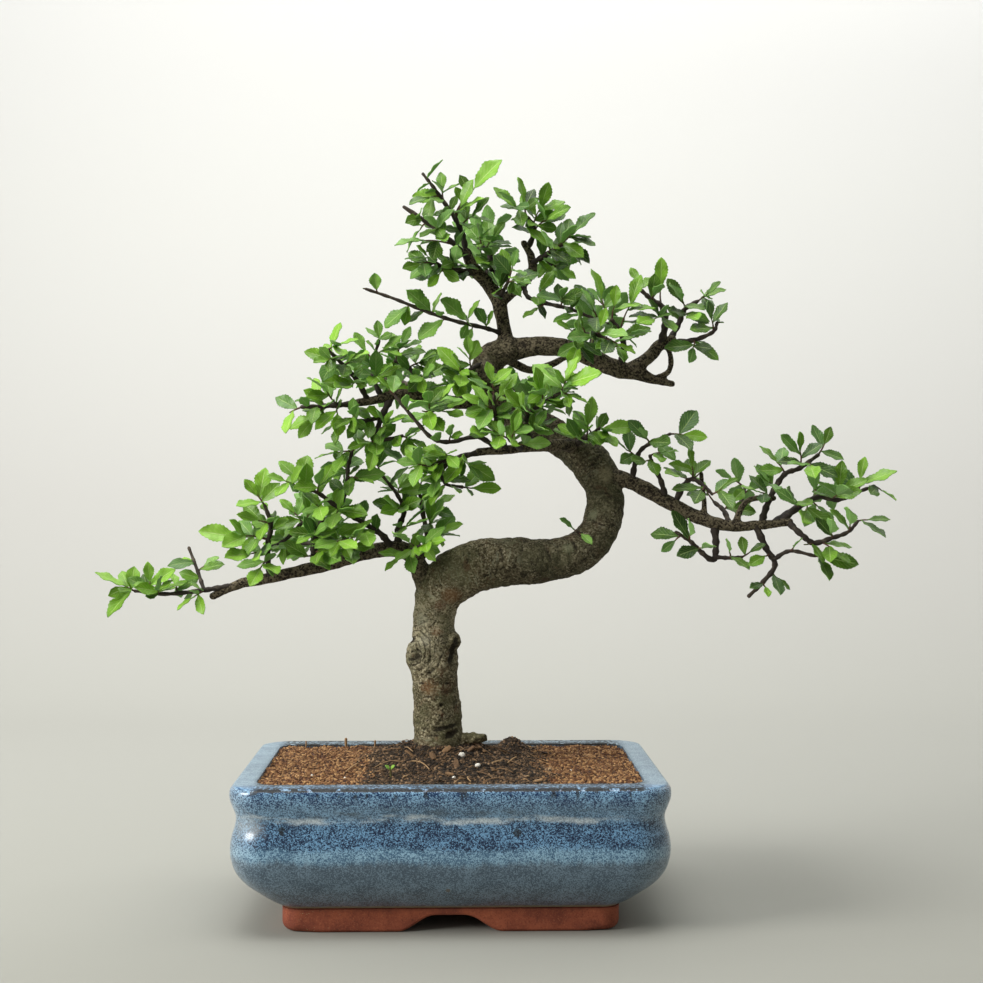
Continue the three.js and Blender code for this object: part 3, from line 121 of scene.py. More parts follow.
BRANCHES = {
    "root": [(452, 744, -4, 4), (466, 739, -6, 3.4), (482, 738, -8, 2.6)],
    "shelf": [
        (500, 352, 0, 7), (530, 347, -3, 5.6), (560, 347, -4, 5.2), (590, 357, -3, 5),
        (615, 368, -2, 5.2), (640, 374, 0, 4), (655, 380, 2, 2.4), (672, 384, 3, 1.8),
    ],
    "shelf_rise": [(628, 371, 0, 4), (648, 358, 0, 3.6), (660, 345, 0, 3.4), (672, 340, 0, 2.8)],
    "shelf_hook": [(654, 379, 2, 1.7), (668, 372, 2, 1.6), (671, 358, 1, 1.5), (666, 344, 0, 1.4)],
    "loop": [(508, 360, 3, 2.4), (530, 370, 9, 2.1), (552, 364, 12, 1.9), (575, 352, 19, 1.6)],
    "leader": [
        (506, 352, 0, 5), (505, 335, 1, 4.2), (502, 318, 2, 3.9), (498, 300, 2, 4.3),
        (487, 283, 0, 3.6), (474, 269, -3, 3.4), (466, 252, -5, 2.8),
    ],
    "crown_fork": [
        (499, 304, 2, 3.4), (512, 293, 4, 2.8), (524, 283, 6, 2.8), (532, 270, 8, 2.8),
        (531, 256, 9, 2.3), (524, 243, 10, 1.8),
    ],
    "left_arm": [
        (500, 402, 12, 5.4), (478, 402, 2, 4.2), (452, 402, -8, 3.6), (425, 398, -14, 3.2),
        (400, 394, -18, 3), (375, 400, -20, 2.4), (350, 404, -22, 1.8),
    ],
    "apron": [
        (578, 446, 4, 4.4), (560, 445, -14, 3.4), (535, 447, -26, 2.8), (505, 450, -32, 2.4),
        (478, 452, -36, 2),
    ],
    "low_arm": [
        (430, 592, -2, 7), (419, 567, -6, 5.2), (408, 552, -9, 4.8), (385, 549, -12, 4.3),
        (355, 556, -15, 3.8), (325, 565, -17, 3.7), (300, 571, -18, 3.2), (270, 578, -20, 3),
        (240, 584, -22, 2.7), (213, 596, -23, 2),
    ],
    "right_arm": [
        (600, 478, 0, 6.5), (622, 479, -4, 4.4), (645, 489, -8, 4.2), (670, 503, -11, 4),
        (700, 518, -14, 3.7), (730, 526, -16, 3), (760, 525, -17, 2.5), (790, 522, -18, 2.1),
    ],
    "right_spur": [(704, 519, -14, 1.7), (704, 500, -14, 1.4), (701, 472, -14, 1)],
    "right_rise": [(735, 525, -16, 1.9), (742, 507, -15, 1.7), (752, 499, -14, 1.6), (774, 498, -12, 1.5)],
}

# Whorls of bark round healed scars: across, down, depth and radius
SCAR_EYES = [
    (415, 656, -11, 10), (456, 640, -8, 5), (441, 705, -13, 2.6), (434, 613, -12, 2), (487, 372, -8, 7),
    (601, 437, 0, 4.5),
]

# Cracks in the bark as the front view shows them: their two ends, half width and depth
BARK_CRACKS = [
    ((417, 683), (424.5, 683.6), 0.6, 0.8), ((441, 684.2), (453.5, 683.4), 0.5, 0.7),
    ((425, 697.6), (434.5, 695.8), 0.5, 0.7), ((417, 727.4), (430, 729.5), 0.5, 0.6),
    ((434, 730), (458, 724.6), 0.9, 1.2), ((425.5, 736.3), (440, 735), 0.6, 0.8),
    ((446, 737), (457, 731.5), 1.2, 1.2), ((454.6, 644), (450.6, 663), 1.1, 1.8),
    ((443.5, 652), (437, 668), 0.5, 0.7), ((437, 668), (424, 676.5), 0.5, 0.7),
    ((437.5, 619), (426.5, 631), 0.5, 0.6), ((407, 643), (413, 640), 0.8, 0.9),
    ((414, 641), (418, 652), 0.5, 0.6), ((407, 661), (416, 659.5), 0.5, 0.6),
    ((416, 659.5), (425, 655), 0.5, 0.6), ((409, 667), (426, 661.5), 0.5, 0.6),
    ((470, 549), (466, 566), 0.5, 0.6), ((499, 543), (503, 560), 0.5, 0.7),
    ((523, 545), (520, 556), 0.5, 0.6), ((545, 545), (551, 563), 0.5, 0.6),
    ((571, 538), (577, 553), 0.5, 0.7), ((590, 520), (606, 526), 0.5, 0.7),
    ((594, 492), (612, 494), 0.5, 0.6), ((585, 468), (603, 461), 0.5, 0.7),
]

# Reddish, pale and mossy stains on the bark, and two near-black patches of painted shade where branches leave
# the trunk: across, down, depth, radius and colour
BARK_STAINS = [
    (436, 631, -13, 4, "7c5236"), (430, 687, -13, 7, "7a5b3b"), (446, 690, -13, 5, "5f3e2b"),
    (440, 604, -13, 5, "6d4431"), (425, 640, -12, 5, "b4b09a"), (588, 549, -14, 7, "14120d"),
    (583, 465, -8, 3.5, "14120d"), (606, 474, -8, 6, "9a9072"), (591, 514, -13, 5, "8a8d70"),
    (568, 549, -18, 4, "8a8d70"), (545, 585, -16, 6, "5c4030"), (452, 596, -16, 8, "86603f"),
    (421, 620, -11, 6, "8f9079"), (484, 362, -8, 8, "a39a82"), (455, 575, -17, 9, "7c7c5e"),
]

PALE_KNEE = (424, 633, -12)
LEFT_KNOT = (412, 650, -10)

# Branchlets, each with its spray and its route, then a row for each shoot: the station on the route it
# leaves from, across, down and depth of its outermost leaf tip, its number of leaves and the size of a leaf
FOLIAGE = [
    ("spray_crown_top",
     [(466, 254, -5, 1.9), (463, 236, -6, 1.7), (456, 220, -6, 1.5), (446, 205, -7, 1.3),
      (434, 188, -8, 1.1), (423, 174, -9, 0.9)],
     [(2, 470, 180, -16, 3, 22), (3.2, 441, 176, -2, 3), (3.5, 411, 200, -20, 3), (1.5, 490, 200, -14, 4),
      (2.2, 497, 156, -10, 1, 24)]),
    ("spray_crown_stub",
     [(471, 262, -4, 1.7), (455, 245, -14, 1.6), (432, 226, -18, 1.5), (404, 207, -20, 1.2)],
     [(1, 396, 236, -26, 4), (1.6, 424, 215, -32, 2), (2.2, 404, 248, -10, 2)]),
    ("spray_crown_west",
     [(478, 274, -2, 2.2), (461, 271, -8, 2), (446, 268, -12, 1.6), (432, 262, -16, 1.2)],
     [(3, 412, 266, -22, 3), (2, 430, 282, -20, 2), (1.5, 455, 248, -30, 3), (3, 420, 246, -30, 2)]),
    ("spray_crown_core",
     [(488, 284, 0, 2), (492, 268, 4, 1.8), (489, 255, 8, 1.6), (482, 246, 10, 1.3)],
     [(3, 478, 228, -2, 3), (2.5, 504, 222, 6, 3), (2, 512, 262, -18, 3), (1.4, 478, 262, -18, 2)]),
    ("spray_crown_back",
     [(494, 294, 3, 1.9), (488, 275, 16, 1.6), (480, 255, 28, 1.4), (478, 240, 34, 1.1)],
     [(3, 452, 222, 42, 4), (2.5, 508, 212, 46, 4), (2, 462, 250, 52, 3), (1.6, 515, 245, 40, 3)]),
    ("spray_crown_mast",
     [(527, 250, 10, 1.8), (534, 233, 8, 1.7), (531, 222, 6, 1.5), (522, 213, 4, 1.1)],
     [(2.5, 520, 178, 0, 3), (3, 500, 190, -12, 3), (1.6, 550, 184, 2, 4), (1.2, 566, 204, -14, 3)]),
    ("spray_crown_east",
     [(531, 264, 8, 2), (544, 256, 4, 1.6), (558, 247, 0, 1.2)],
     [(2, 594, 214, -6, 4), (2, 586, 240, 4, 3), (1.4, 545, 232, -22, 3), (1.8, 578, 226, -18, 2)]),
    ("spray_crown_east",
     [(544, 256, 4, 1.4), (549, 262, 12, 1.2), (554, 266, 19, 1)],
     [(2, 566, 262, 34, 3), (1.4, 572, 276, 14, 2)]),
    ("spray_crown_front",
     [(499, 303, 2, 1.6), (503, 292, -8, 1.3), (508, 282, -16, 1)],
     [(2, 514, 262, -24, 4), (1, 492, 272, -20, 2), (2, 528, 280, -26, 2)]),
    ("spray_upper_twig",
     [(524, 286, 5, 1.6), (528, 297, 1, 1.4), (545, 303, -4, 1.3), (570, 309, -8, 1.2), (590, 317, -10, 1),
      (608, 324, -10, 0.9)],
     [(1.5, 550, 272, -14, 3), (2, 524, 318, -12, 2), (2.6, 565, 286, -22, 3), (4.4, 584, 288, -24, 3, 24),
      (4.8, 598, 268, -10, 3), (3.4, 578, 330, -18, 2)]),
    ("spray_upper_rise",
     [(620, 369, -2, 2.4), (624, 348, -8, 2), (620, 332, -12, 1.6), (612, 320, -14, 1.2)],
     [(3, 618, 286, -18, 3), (2, 642, 276, -16, 4), (1, 600, 346, -34, 3), (1.6, 648, 330, -32, 2)]),
    ("spray_upper_knot",
     [(660, 346, -1, 2.4), (665, 326, -4, 2.1), (663, 308, -5, 1.9), (652, 300, -6, 1.6),
      (642, 291, -7, 1.2)],
     [(2.2, 660, 258, -4, 3), (1.4, 640, 320, -30, 3), (4, 634, 272, -2, 2), (3, 660, 284, -24, 2)]),
    ("spray_upper_east",
     [(670, 340, 2, 2), (679, 323, 7, 1.8), (685, 309, 7, 1.6), (698, 301, 7, 1.2)],
     [(3, 710, 292, 0, 3), (2, 674, 284, -14, 3), (1.6, 700, 318, -18, 3)]),
    ("spray_upper_far",
     [(672, 342, -1, 1.8), (694, 340, -7, 1.5), (713, 332, -10, 1.2), (717, 323, -11, 1)],
     [(3, 724, 322, -10, 1, 8), (1, 692, 354, -18, 3), (2, 710, 308, -16, 3)]),
    ("spray_upper_front",
     [(577, 352, -4, 1.9), (580, 338, -13, 1.5), (592, 334, -20, 1.3), (606, 338, -26, 1)],
     [(3, 634, 352, -32, 3), (2, 592, 360, -40, 2), (1, 562, 322, -22, 3), (1.5, 575, 308, -28, 2),
      (1, 572, 366, -26, 2), (2.4, 606, 312, -30, 2)]),
    ("spray_upper_back",
     [(590, 358, -2, 2.2), (592, 342, 14, 1.7), (600, 325, 30, 1.4), (608, 312, 40, 1.1)],
     [(3, 590, 290, 48, 4), (2.5, 636, 302, 50, 4), (2, 566, 322, 38, 4), (1.5, 630, 336, 32, 3)]),
    ("spray_middle_west",
     [(352, 404, -22, 1.9), (325, 406, -24, 1.5), (302, 407, -26, 1.1)],
     [(0.5, 312, 374, -36, 4), (1, 314, 380, -12, 3), (2, 291, 412, -28, 3), (1, 298, 436, -32, 4),
      (0.5, 336, 430, -42, 3)]),
    ("spray_middle_fork",
     [(368, 401, -20, 1.9), (358, 382, -25, 1.5), (344, 366, -29, 1.3), (328, 350, -31, 1)],
     [(3, 346, 342, -36, 3), (2.4, 318, 360, -44, 3), (1, 338, 392, -50, 3, 22), (2, 368, 352, -44, 2)]),
    ("spray_middle_mast",
     [(382, 398, -19, 1.8), (374, 380, -15, 1.4), (373, 362, -13, 1.2), (379, 341, -13, 1)],
     [(2, 354, 334, -10, 3), (2.2, 400, 336, -20, 3), (1, 388, 366, -38, 3), (3, 380, 320, -12, 1, 16)]),
    ("spray_middle_rise",
     [(412, 397, -16, 2.4), (417, 382, -11, 1.8), (409, 368, -8, 1.5), (396, 361, -6, 1.2)],
     [(3, 406, 332, -8, 4), (2, 442, 352, 2, 3), (1, 434, 366, -28, 3), (3, 380, 376, 8, 2)]),
    ("spray_middle_drop",
     [(392, 396, -18, 2.4), (384, 412, -22, 1.9), (378, 428, -24, 1.6), (379, 440, -25, 1.3),
      (402, 436, -27, 1)],
     [(3, 350, 446, -32, 3), (2.6, 372, 466, -36, 3, 22), (2, 402, 420, -42, 3), (4, 424, 446, -32, 2)]),
    ("spray_middle_drop",
     [(382, 416, -23, 1.7), (365, 421, -27, 1.4), (345, 419, -30, 1.1)],
     [(1.6, 356, 404, -46, 2), (2, 322, 432, -22, 2)]),
    ("spray_middle_front",
     [(440, 400, -11, 1.8), (436, 408, -24, 1.4), (430, 412, -36, 1.1)],
     [(2, 428, 390, -52, 3), (1.6, 420, 432, -48, 3), (1, 450, 384, -34, 3), (1.2, 464, 416, -38, 3),
      (2, 400, 408, -50, 2)]),
    ("spray_middle_back",
     [(428, 398, -13, 2.2), (415, 388, 6, 1.7), (395, 380, 28, 1.4), (372, 376, 40, 1.1)],
     [(3, 344, 362, 48, 4), (2.4, 400, 352, 48, 4), (2, 382, 404, 46, 3), (1.2, 444, 364, 26, 3),
      (1.6, 430, 410, 36, 2)]),
    ("spray_middle_sprig",
     [(486, 362, -2, 1.6), (470, 370, -14, 1.2), (457, 383, -19, 1.1)],
     [(2, 436, 392, -26, 2), (0.9, 468, 342, -16, 3), (1.5, 456, 358, -28, 3), (1.6, 484, 384, -30, 2)]),
    ("spray_wisp",
     [(504, 334, 0, 1.5), (485, 328, -6, 1.3), (455, 321, -12, 1.2), (425, 311, -16, 1.1),
      (395, 299, -20, 1), (366, 289, -24, 0.9)],
     [(0.9, 478, 306, -8, 1, 15), (1.5, 444, 296, -14, 1, 20), (1.4, 466, 340, -12, 1, 14),
      (2.3, 418, 338, -16, 1, 20), (2.7, 407, 289, -18, 1, 20), (3.5, 384, 326, -20, 1, 20),
      (4.6, 372, 273, -26, 1, 14), (5, 361, 288, -26, 1, 12)], 0.7),
    ("spray_arc",
     [(500, 451, -33, 1.7), (478, 437, -38, 1.4), (450, 442, -42, 1.3), (432, 438, -44, 1.2),
      (415, 420, -46, 1.1), (395, 396, -48, 0.9)],
     [(5, 380, 380, -52, 2, 16), (4.4, 406, 392, -56, 1, 16), (2, 452, 424, -56, 2)]),
    ("spray_centre_rise",
     [(535, 447, -26, 2), (528, 432, -34, 1.6), (528, 415, -38, 1.4), (543, 403, -40, 1.2),
      (560, 393, -42, 1)],
     [(4, 574, 362, -46, 3, 24), (3, 536, 370, -52, 3, 24), (2, 506, 392, -56, 3), (1, 548, 424, -60, 3),
      (4, 590, 400, -46, 2)]),
    ("spray_centre_west",
     [(507, 450, -32, 1.8), (498, 432, -42, 1.5), (495, 412, -46, 1.2), (494, 396, -48, 1)],
     [(3, 490, 362, -50, 3), (2, 466, 394, -54, 3), (1, 470, 432, -60, 3), (2.4, 514, 372, -44, 2)]),
    ("spray_centre_east",
     [(572, 447, -2, 1.8), (586, 438, -12, 1.4), (600, 428, -18, 1)],
     [(1, 592, 398, -18, 3), (2, 612, 440, -24, 2), (1.4, 576, 414, -32, 3), (0.8, 556, 436, -34, 3)]),
    ("spray_centre_front",
     [(522, 449, -29, 1.7), (515, 445, -44, 1.3), (508, 438, -54, 1)],
     [(2, 480, 430, -66, 3), (1.6, 522, 414, -64, 3), (1, 548, 442, -54, 2)]),
    ("spray_centre_tail",
     [(481, 452, -35.6, 1.9), (452, 459, -39, 1.4), (430, 466, -41, 1)],
     [(2, 408, 462, -46, 3), (1, 438, 446, -54, 3), (0.6, 476, 474, -46, 3)]),
    ("spray_centre_tail",
     [(450, 460, -39, 1.3), (442, 472, -38, 1.2), (446, 484, -36, 1.1), (462, 487, -35, 1)],
     [(3, 500, 492, -34, 2, 20), (1, 412, 480, -34, 3), (2, 424, 496, -30, 2)]),
    ("spray_centre_back",
     [(548, 432, 14, 2), (542, 415, 28, 1.7), (530, 400, 40, 1.4), (515, 390, 48, 1.1)],
     [(3, 490, 374, 54, 4), (2.4, 552, 380, 52, 4), (2, 520, 420, 60, 3), (1.4, 574, 400, 38, 3)]),
    ("spray_low_tip",
     [(238, 585, -22, 1.9), (218, 588, -24, 1.6), (198, 591, -25, 1.4), (165, 594, -26, 1.2),
      (135, 591, -28, 0.9)],
     [(4, 97, 572, -30, 2, 22), (3.4, 148, 572, -32, 3), (2.6, 175, 578, -14, 3), (1.6, 176, 606, -34, 3),
      (3.2, 160, 580, -44, 2)]),
    ("spray_low_tip",
     [(204, 590, -25, 1.3), (198, 572, -20, 1.1), (189, 548, -16, 0.9)],
     [(1, 216, 556, -10, 2)]),
    ("spray_low_rise",
     [(270, 579, -20, 2.2), (268, 560, -24, 1.8), (268, 543, -26, 1.6), (271, 525, -26, 1.4),
      (265, 506, -26, 1.1)],
     [(4, 252, 488, -28, 3, 18), (3, 238, 514, -36, 3), (2.2, 200, 534, -34, 4, 22), (1.3, 226, 552, -46, 3),
      (1, 248, 582, -50, 3)]),
    ("spray_low_rise",
     [(268, 550, -25, 1.5), (285, 540, -18, 1.3), (302, 523, -12, 1.1)],
     [(2, 284, 500, -8, 3), (2, 318, 504, -20, 3), (1, 282, 558, -6, 2)]),
    ("spray_low_long",
     [(392, 549, -12, 2.6), (382, 535, -18, 2), (362, 522, -22, 1.7), (340, 509, -26, 1.4),
      (318, 493, -30, 1.2), (298, 486, -33, 0.9)],
     [(5, 278, 478, -38, 3), (4.5, 280, 460, -30, 3, 22), (4, 322, 470, -48, 3), (3, 330, 524, -50, 3),
      (2, 368, 544, -48, 2)]),
    ("spray_low_long",
     [(339, 508, -26, 1.5), (347, 488, -24, 1.4), (348, 468, -22, 1.2), (352, 452, -22, 1)],
     [(3, 316, 453, -26, 3, 22), (3, 368, 432, -24, 3), (2, 332, 482, -10, 2), (1.5, 370, 480, -32, 3)]),
    ("spray_low_stub",
     [(318, 567, -17, 2.8), (314, 552, -24, 2.3), (316, 536, -28, 1.7), (325, 512, -32, 1.2)],
     [(2, 304, 536, -52, 3), (3, 304, 496, -42, 3), (1, 340, 556, -44, 3), (2, 350, 524, -20, 2),
      (0.7, 288, 558, -40, 3)]),
    ("spray_low_red",
     [(399, 551, -10, 2.4), (398, 530, -12, 1.9), (404, 512, -14, 1.5), (398, 496, -16, 1.2),
      (382, 475, -18, 0.9)],
     [(4, 368, 444, -22, 3, 22), (2, 384, 500, -34, 3), (3, 402, 474, -4, 3), (1, 424, 520, -34, 3)]),
    ("spray_low_east",
     [(419, 566, -6, 2.4), (427, 540, -5, 1.8), (423, 514, -4, 1.4), (419, 490, -3, 1.1)],
     [(3, 428, 466, 0, 3), (2, 452, 492, 4, 3), (1, 460, 524, -18, 3), (1.4, 442, 508, -26, 3)]),
    ("spray_low_front",
     [(406, 554, -10, 1.9), (412, 550, -24, 1.4), (420, 546, -34, 1.1)],
     [(2, 440, 540, -46, 3), (1, 388, 566, -28, 3), (1.5, 396, 532, -52, 2)]),
    ("spray_low_back",
     [(340, 561, -16, 2.4), (335, 545, 6, 1.8), (325, 530, 26, 1.5), (318, 515, 38, 1.1)],
     [(3, 296, 496, 44, 4), (2.5, 350, 500, 48, 4), (1.5, 364, 530, 36, 3)]),
    ("spray_low_back",
     [(334, 544, 8, 1.6), (304, 543, 20, 1.4), (270, 540, 27, 1.1)],
     [(2, 232, 532, 30, 4), (1.4, 276, 520, 44, 3), (1, 292, 556, 38, 3)]),
    ("spray_low_middle",
     [(362, 555, -14, 2.1), (352, 545, -26, 1.5), (345, 540, -36, 1.1)],
     [(2, 318, 546, -56, 3), (1.5, 366, 524, -48, 3), (1, 350, 564, -46, 2)]),
    ("spray_trunk_sprig",
     [(588, 541, -12, 1.4), (582, 535, -20, 1.2), (576, 531, -24, 0.9)],
     [(2, 560, 518, -28, 1, 14), (1.5, 592, 541, -32, 1, 12)]),
    ("spray_right_first",
     [(632, 482, -6, 2.2), (635, 464, -10, 1.6), (641, 450, -13, 1.4), (655, 441, -15, 1.2),
      (670, 434, -17, 1)],
     [(1.4, 616, 442, -16, 3), (2.6, 642, 430, -30, 3), (4, 698, 436, -20, 3, 22), (3, 664, 460, -2, 2)]),
    ("spray_right_twin",
     [(666, 500, -11, 2.1), (661, 481, -14, 1.6), (653, 465, -16, 1.3), (650, 456, -17, 1)],
     [(3, 676, 448, -30, 3), (2.4, 632, 462, -30, 2)]),
    ("spray_right_crook",
     [(674, 505, -11, 2.2), (683, 487, -15, 1.8), (692, 479, -18, 1.5), (704, 486, -21, 1.2),
      (712, 494, -23, 1)],
     [(2, 692, 450, -26, 3), (2, 712, 464, -12, 2), (4, 728, 484, -30, 3), (3, 694, 502, -38, 2),
      (1.6, 668, 468, -34, 2)]),
    ("spray_right_rear",
     [(730, 526, -15, 2), (724, 511, -6, 1.5), (714, 502, 2, 1.2)],
     [(2, 700, 482, 8, 3), (1, 742, 488, 6, 3)]),
    ("spray_right_drop",
     [(714, 524, -15, 2.6), (716, 545, -17, 2), (713, 560, -19, 1.8), (700, 551, -21, 1.5),
      (690, 541, -23, 1.3), (676, 532, -25, 1)],
     [(4.6, 668, 546, -30, 2), (4, 690, 520, -40, 2), (3.2, 712, 546, -40, 2)]),
    ("spray_right_drop",
     [(715, 557, -19, 1.4), (730, 558, -20, 1.2), (742, 557, -20, 1)],
     [(2, 750, 552, -22, 2, 16), (1, 728, 540, -32, 2, 16)]),
    ("spray_right_hang",
     [(756, 526, -17, 2.4), (766, 548, -18, 1.9), (775, 565, -19, 1.7), (763, 582, -20, 1.4),
      (749, 596, -21, 1.1)],
     [(1, 738, 540, -26, 2), (1.3, 754, 562, -34, 2), (2.4, 784, 584, -16, 2, 16),
      (3, 768, 592, -30, 2, 14)]),
    ("spray_right_hang",
     [(773, 560, -19, 1.5), (790, 551, -22, 1.2), (815, 556, -25, 1)],
     [(2, 857, 564, -30, 2, 22), (1, 800, 540, -36, 2)]),
    ("spray_right_crown",
     [(761, 525, -17, 2.4), (766, 508, -13, 2), (774, 490, -8, 1.8), (785, 474, -6, 1.6),
      (800, 468, -5, 1.5), (818, 455, -4, 1.1)],
     [(4, 800, 440, -10, 4), (3, 764, 444, -4, 3), (2, 760, 466, -28, 3), (5, 828, 438, -2, 3),
      (1.6, 742, 484, -24, 3), (4.4, 816, 472, -32, 3)]),
    ("spray_right_spread",
     [(778, 524, -18, 2.1), (798, 508, -11, 1.8), (818, 497, -6, 1.6), (838, 500, -4, 1.4),
      (858, 492, -2, 1.2), (874, 486, 0, 1)],
     [(5, 884, 492, -4, 2, 18), (4, 864, 458, 2, 3, 22), (3, 842, 462, -10, 3), (2.6, 850, 486, -30, 3),
      (1, 790, 492, -40, 3), (1.4, 806, 524, -36, 3)]),
    ("spray_right_tip",
     [(788, 522, -18, 2), (802, 535, -23, 1.8), (814, 543, -23, 1.7), (832, 538, -24, 1.4),
      (848, 532, -25, 1.2), (858, 521, -26, 1)],
     [(5, 886, 518, -26, 2, 22), (3, 828, 520, -42, 2), (2, 784, 548, -38, 3), (2.4, 848, 560, -34, 3, 22),
      (4, 854, 506, -46, 2)]),
    ("spray_right_back",
     [(738, 527, -15, 2.1), (738, 512, 6, 1.6), (742, 498, 20, 1.3), (745, 488, 28, 1)],
     [(3, 722, 472, 36, 4), (2.4, 770, 480, 36, 4)]),
    ("spray_right_back_far",
     [(770, 525, -16, 2.1), (787, 513, 5, 1.6), (808, 500, 18, 1.3), (826, 493, 28, 1)],
     [(3, 856, 480, 34, 4), (2.4, 812, 468, 38, 4), (2, 836, 518, 32, 3)]),
]

# Soil round the trunk: dark humus, flakes of bark, straws and crumbs of perlite
SEAT_GAP = 0.3
HUMUS = {"x": 3, "half_length": 64, "fade": 26}
TRUNK_FOOT = (-7, 0)
CHIP_COUNT = 120
GRAIN_DENSITY = 2e6
CHIP_NOISE_SCALE = 620
FIBRE_COUNT = 45
BARK_CURLS = [
    (424, 751, -8, 7, 4.5), (411, 759, -22, 7, 4), (446, 751, -20, 6, 4), (433, 757, -26, 6, 3.5),
    (470, 748, -14, 5, 4), (456, 764, -34, 6, 3),
]
LYING_STRAWS = [(352, 768, -28, 9, 0.8), (512, 761, -20, 8, 0.9), (497, 765, -26, 7, 0.6)]
STANDING_STRAWS = [(306, 741.6, 66, 0.8, 0.45), (346, 739, 66, -0.5, 0.85), (375, 741, 66, 1.5, 0.6)]
PERLITE_SPECKS = [(454, 780, -52, 1.1), (312, 773, -36, 0.8), (345, 776, -42, 0.8), (571, 762, -20, 0.7)]

# Places on the front wall where the glaze is spotted or clouded, and a pale painted reflection at the left
# corner: x, y, z, radius, hardness and colour
GLAZE_SPOTS_AND_REFLECTION = [
    (-88.8, -83, 58.8, 2.3, 0.7, "10151b"), (-88.8, -83, 57, 1.7, 0.7, "10151b"),
    (-72.7, -82.8, 60, 1.2, 0.6, "1a222c"), (34.7, -83.2, 56.8, 2.7, 0.7, "14140f"),
    (31, -83.2, 56.3, 1.6, 0.2, "1b2430"), (-3.6, -84.6, 49.1, 2.0, 0.5, "3c4a58"),
    (-1.5, -79, 25.8, 1.8, 0.6, "54462c"), (-107, -77, 58.5, 11, 0.05, "c9d3d6"),
    (-106, -76, 76, 4, 0.1, "2a3138"),
]

# Colours of the grains, from the darkest to the palest
GRANULE_TONES = [(0, "3c2415"), (0.3, "6c4628"), (0.68, "926b43"), (1, "b89161")]
CRUMB_TONES = [(0, "17130d"), (0.45, "3d3021"), (0.8, "6e553b"), (1, "96795a")]
FLAKE_TONES = [(0, "2b2118"), (0.4, "5c452f"), (0.75, "8d6e4c"), (1, "b1926a")]

# Paper sweep and lights: place, size in metres, where it points, power in watts and tint
SWEEP = {"floor_end": 700, "radius": 900, "height": 2600, "half_width": 2600}
LAMPS = [
    ("key", (-1350, -620, 760), (0.7, 0.7), (0, 0, 190), 27, "fffdfa"),
    ("top", (-150, -150, 1500), (1.2, 0.9), (0, 0, 190), 19, "ffffff"),
    ("wall", (750, 700, 2100), (2.4, 0.6), (500, 1600, 760), 17, "ffffff"),
]

# Repeatable draws
SEED_STEP = 7919
SEED_START = 104729
DRAW_FACTOR = 1664525
DRAW_STEP = 1013904223
DRAW_RANGE = 4294967296
SPRAY_SEEDS = 1000
BRANCHLET_SEEDS = 100
FILL_SEED = 900000
LITTER_SEED = 41

# Wood: sides of a stem and how many points are placed on the limbs at once
TRUNK_SIDES = 40
BRANCH_SIDES = 20
POINTS_AT_ONCE = 4000
LIMB_SHIFT = 400

# Leaves
LEAF_SIZE = 18.5
LEAF_CLEARANCE = 1.3
NEIGHBOUR_REACH = 40
FRONT_HALF_ENDS = 18
LEAF_SHARP = math.radians(50)
STEM_CLEARANCE = 0.8
SHOOT_RADIUS = 0.5
LEAF_TRIES = 9
BLADE_BREADTH = 0.48
BLADE_THICKNESS = 0.36
BLADE_STATIONS = 21
BLADE_ACROSS = (-1, -0.72, -0.36, 0, 0.36, 0.72, 1)
TOOTH_DEPTH = 0.12
TIP_TAPER = 0.36
NECK_HALF_WIDTH = 0.42
VEIN_PAIRS = 7
VEIN_SLANT = 2.4

# Painted light and shade on the leaves of each part of the tree: how much lighter or darker than the rest
# they are painted, by how the light falls on that part
PAINTED_LIGHT_BY_PART = {"crown": -0.13, "upper": -0.22, "middle": 0.12, "centre": 0.18, "low": 0.18, "right": -0.24}

# Small inner leaves that only this script adds
FILL_PER_SHOOT = {"crown": 6, "upper": 1, "middle": 6, "centre": 7, "low": 3, "right": 0}
FILL_TRIES = 5
FILL_RANK = 4
FILL_CLEARANCE = 0.9
FILL_SHORTEST = 9
FILL_LONGEST = 16
FILL_STATIONS = 9
FILL_ACROSS = (-1, -0.5, 0, 0.5, 1)

# Seedling and perlite grains on the soil
SEEDLING = {"across": 390, "down": 779, "depth": -46, "height": 5, "stem_radius": 0.7, "leaf_length": 3.6}
PERLITE = {"perlite_1": (6, -22, (1.9, 1.7, 1.6)), "perlite_2": (14.7, -33, (1.5, 1.8, 1.4))}


def place(across, down, depth):
    """Place of a point that the front view shows at across and down, at a given depth."""
    reach = depth - EYE[1]
    x = reach * math.tan(math.atan((across - VIEW_MIDDLE) / VIEW_FOCUS) + VIEW_TURN)
    away = x * math.sin(VIEW_TURN) + reach * math.cos(VIEW_TURN)
    return np.array((EYE[0] + x, depth, EYE[2] + (VIEW_MIDDLE - down) * away / VIEW_FOCUS))


def to_frame(points):
    """Points counted from the middle of the pot, in millimetres, as places in the frame, in metres."""
    return (np.asarray(points, float) + (POT_MIDDLE_X, POT_MIDDLE_Y, 0)) * MM


def unit(vector):
    return vector / np.linalg.norm(vector)


def square_to(vector, axis):
    """What is left of a vector at right angles to an axis."""
    return unit(vector - axis * np.dot(vector, axis))


def spline(before, here, there, after, share):
    """Place on the smooth curve between here and there."""
    leaving, arriving = 0.5 * (there - before), 0.5 * (after - here)
    square = -3 * here + 3 * there - 2 * leaving - arriving
    cube = 2 * here - 2 * there + leaving + arriving
    return here + leaving * share + square * share ** 2 + cube * share ** 3


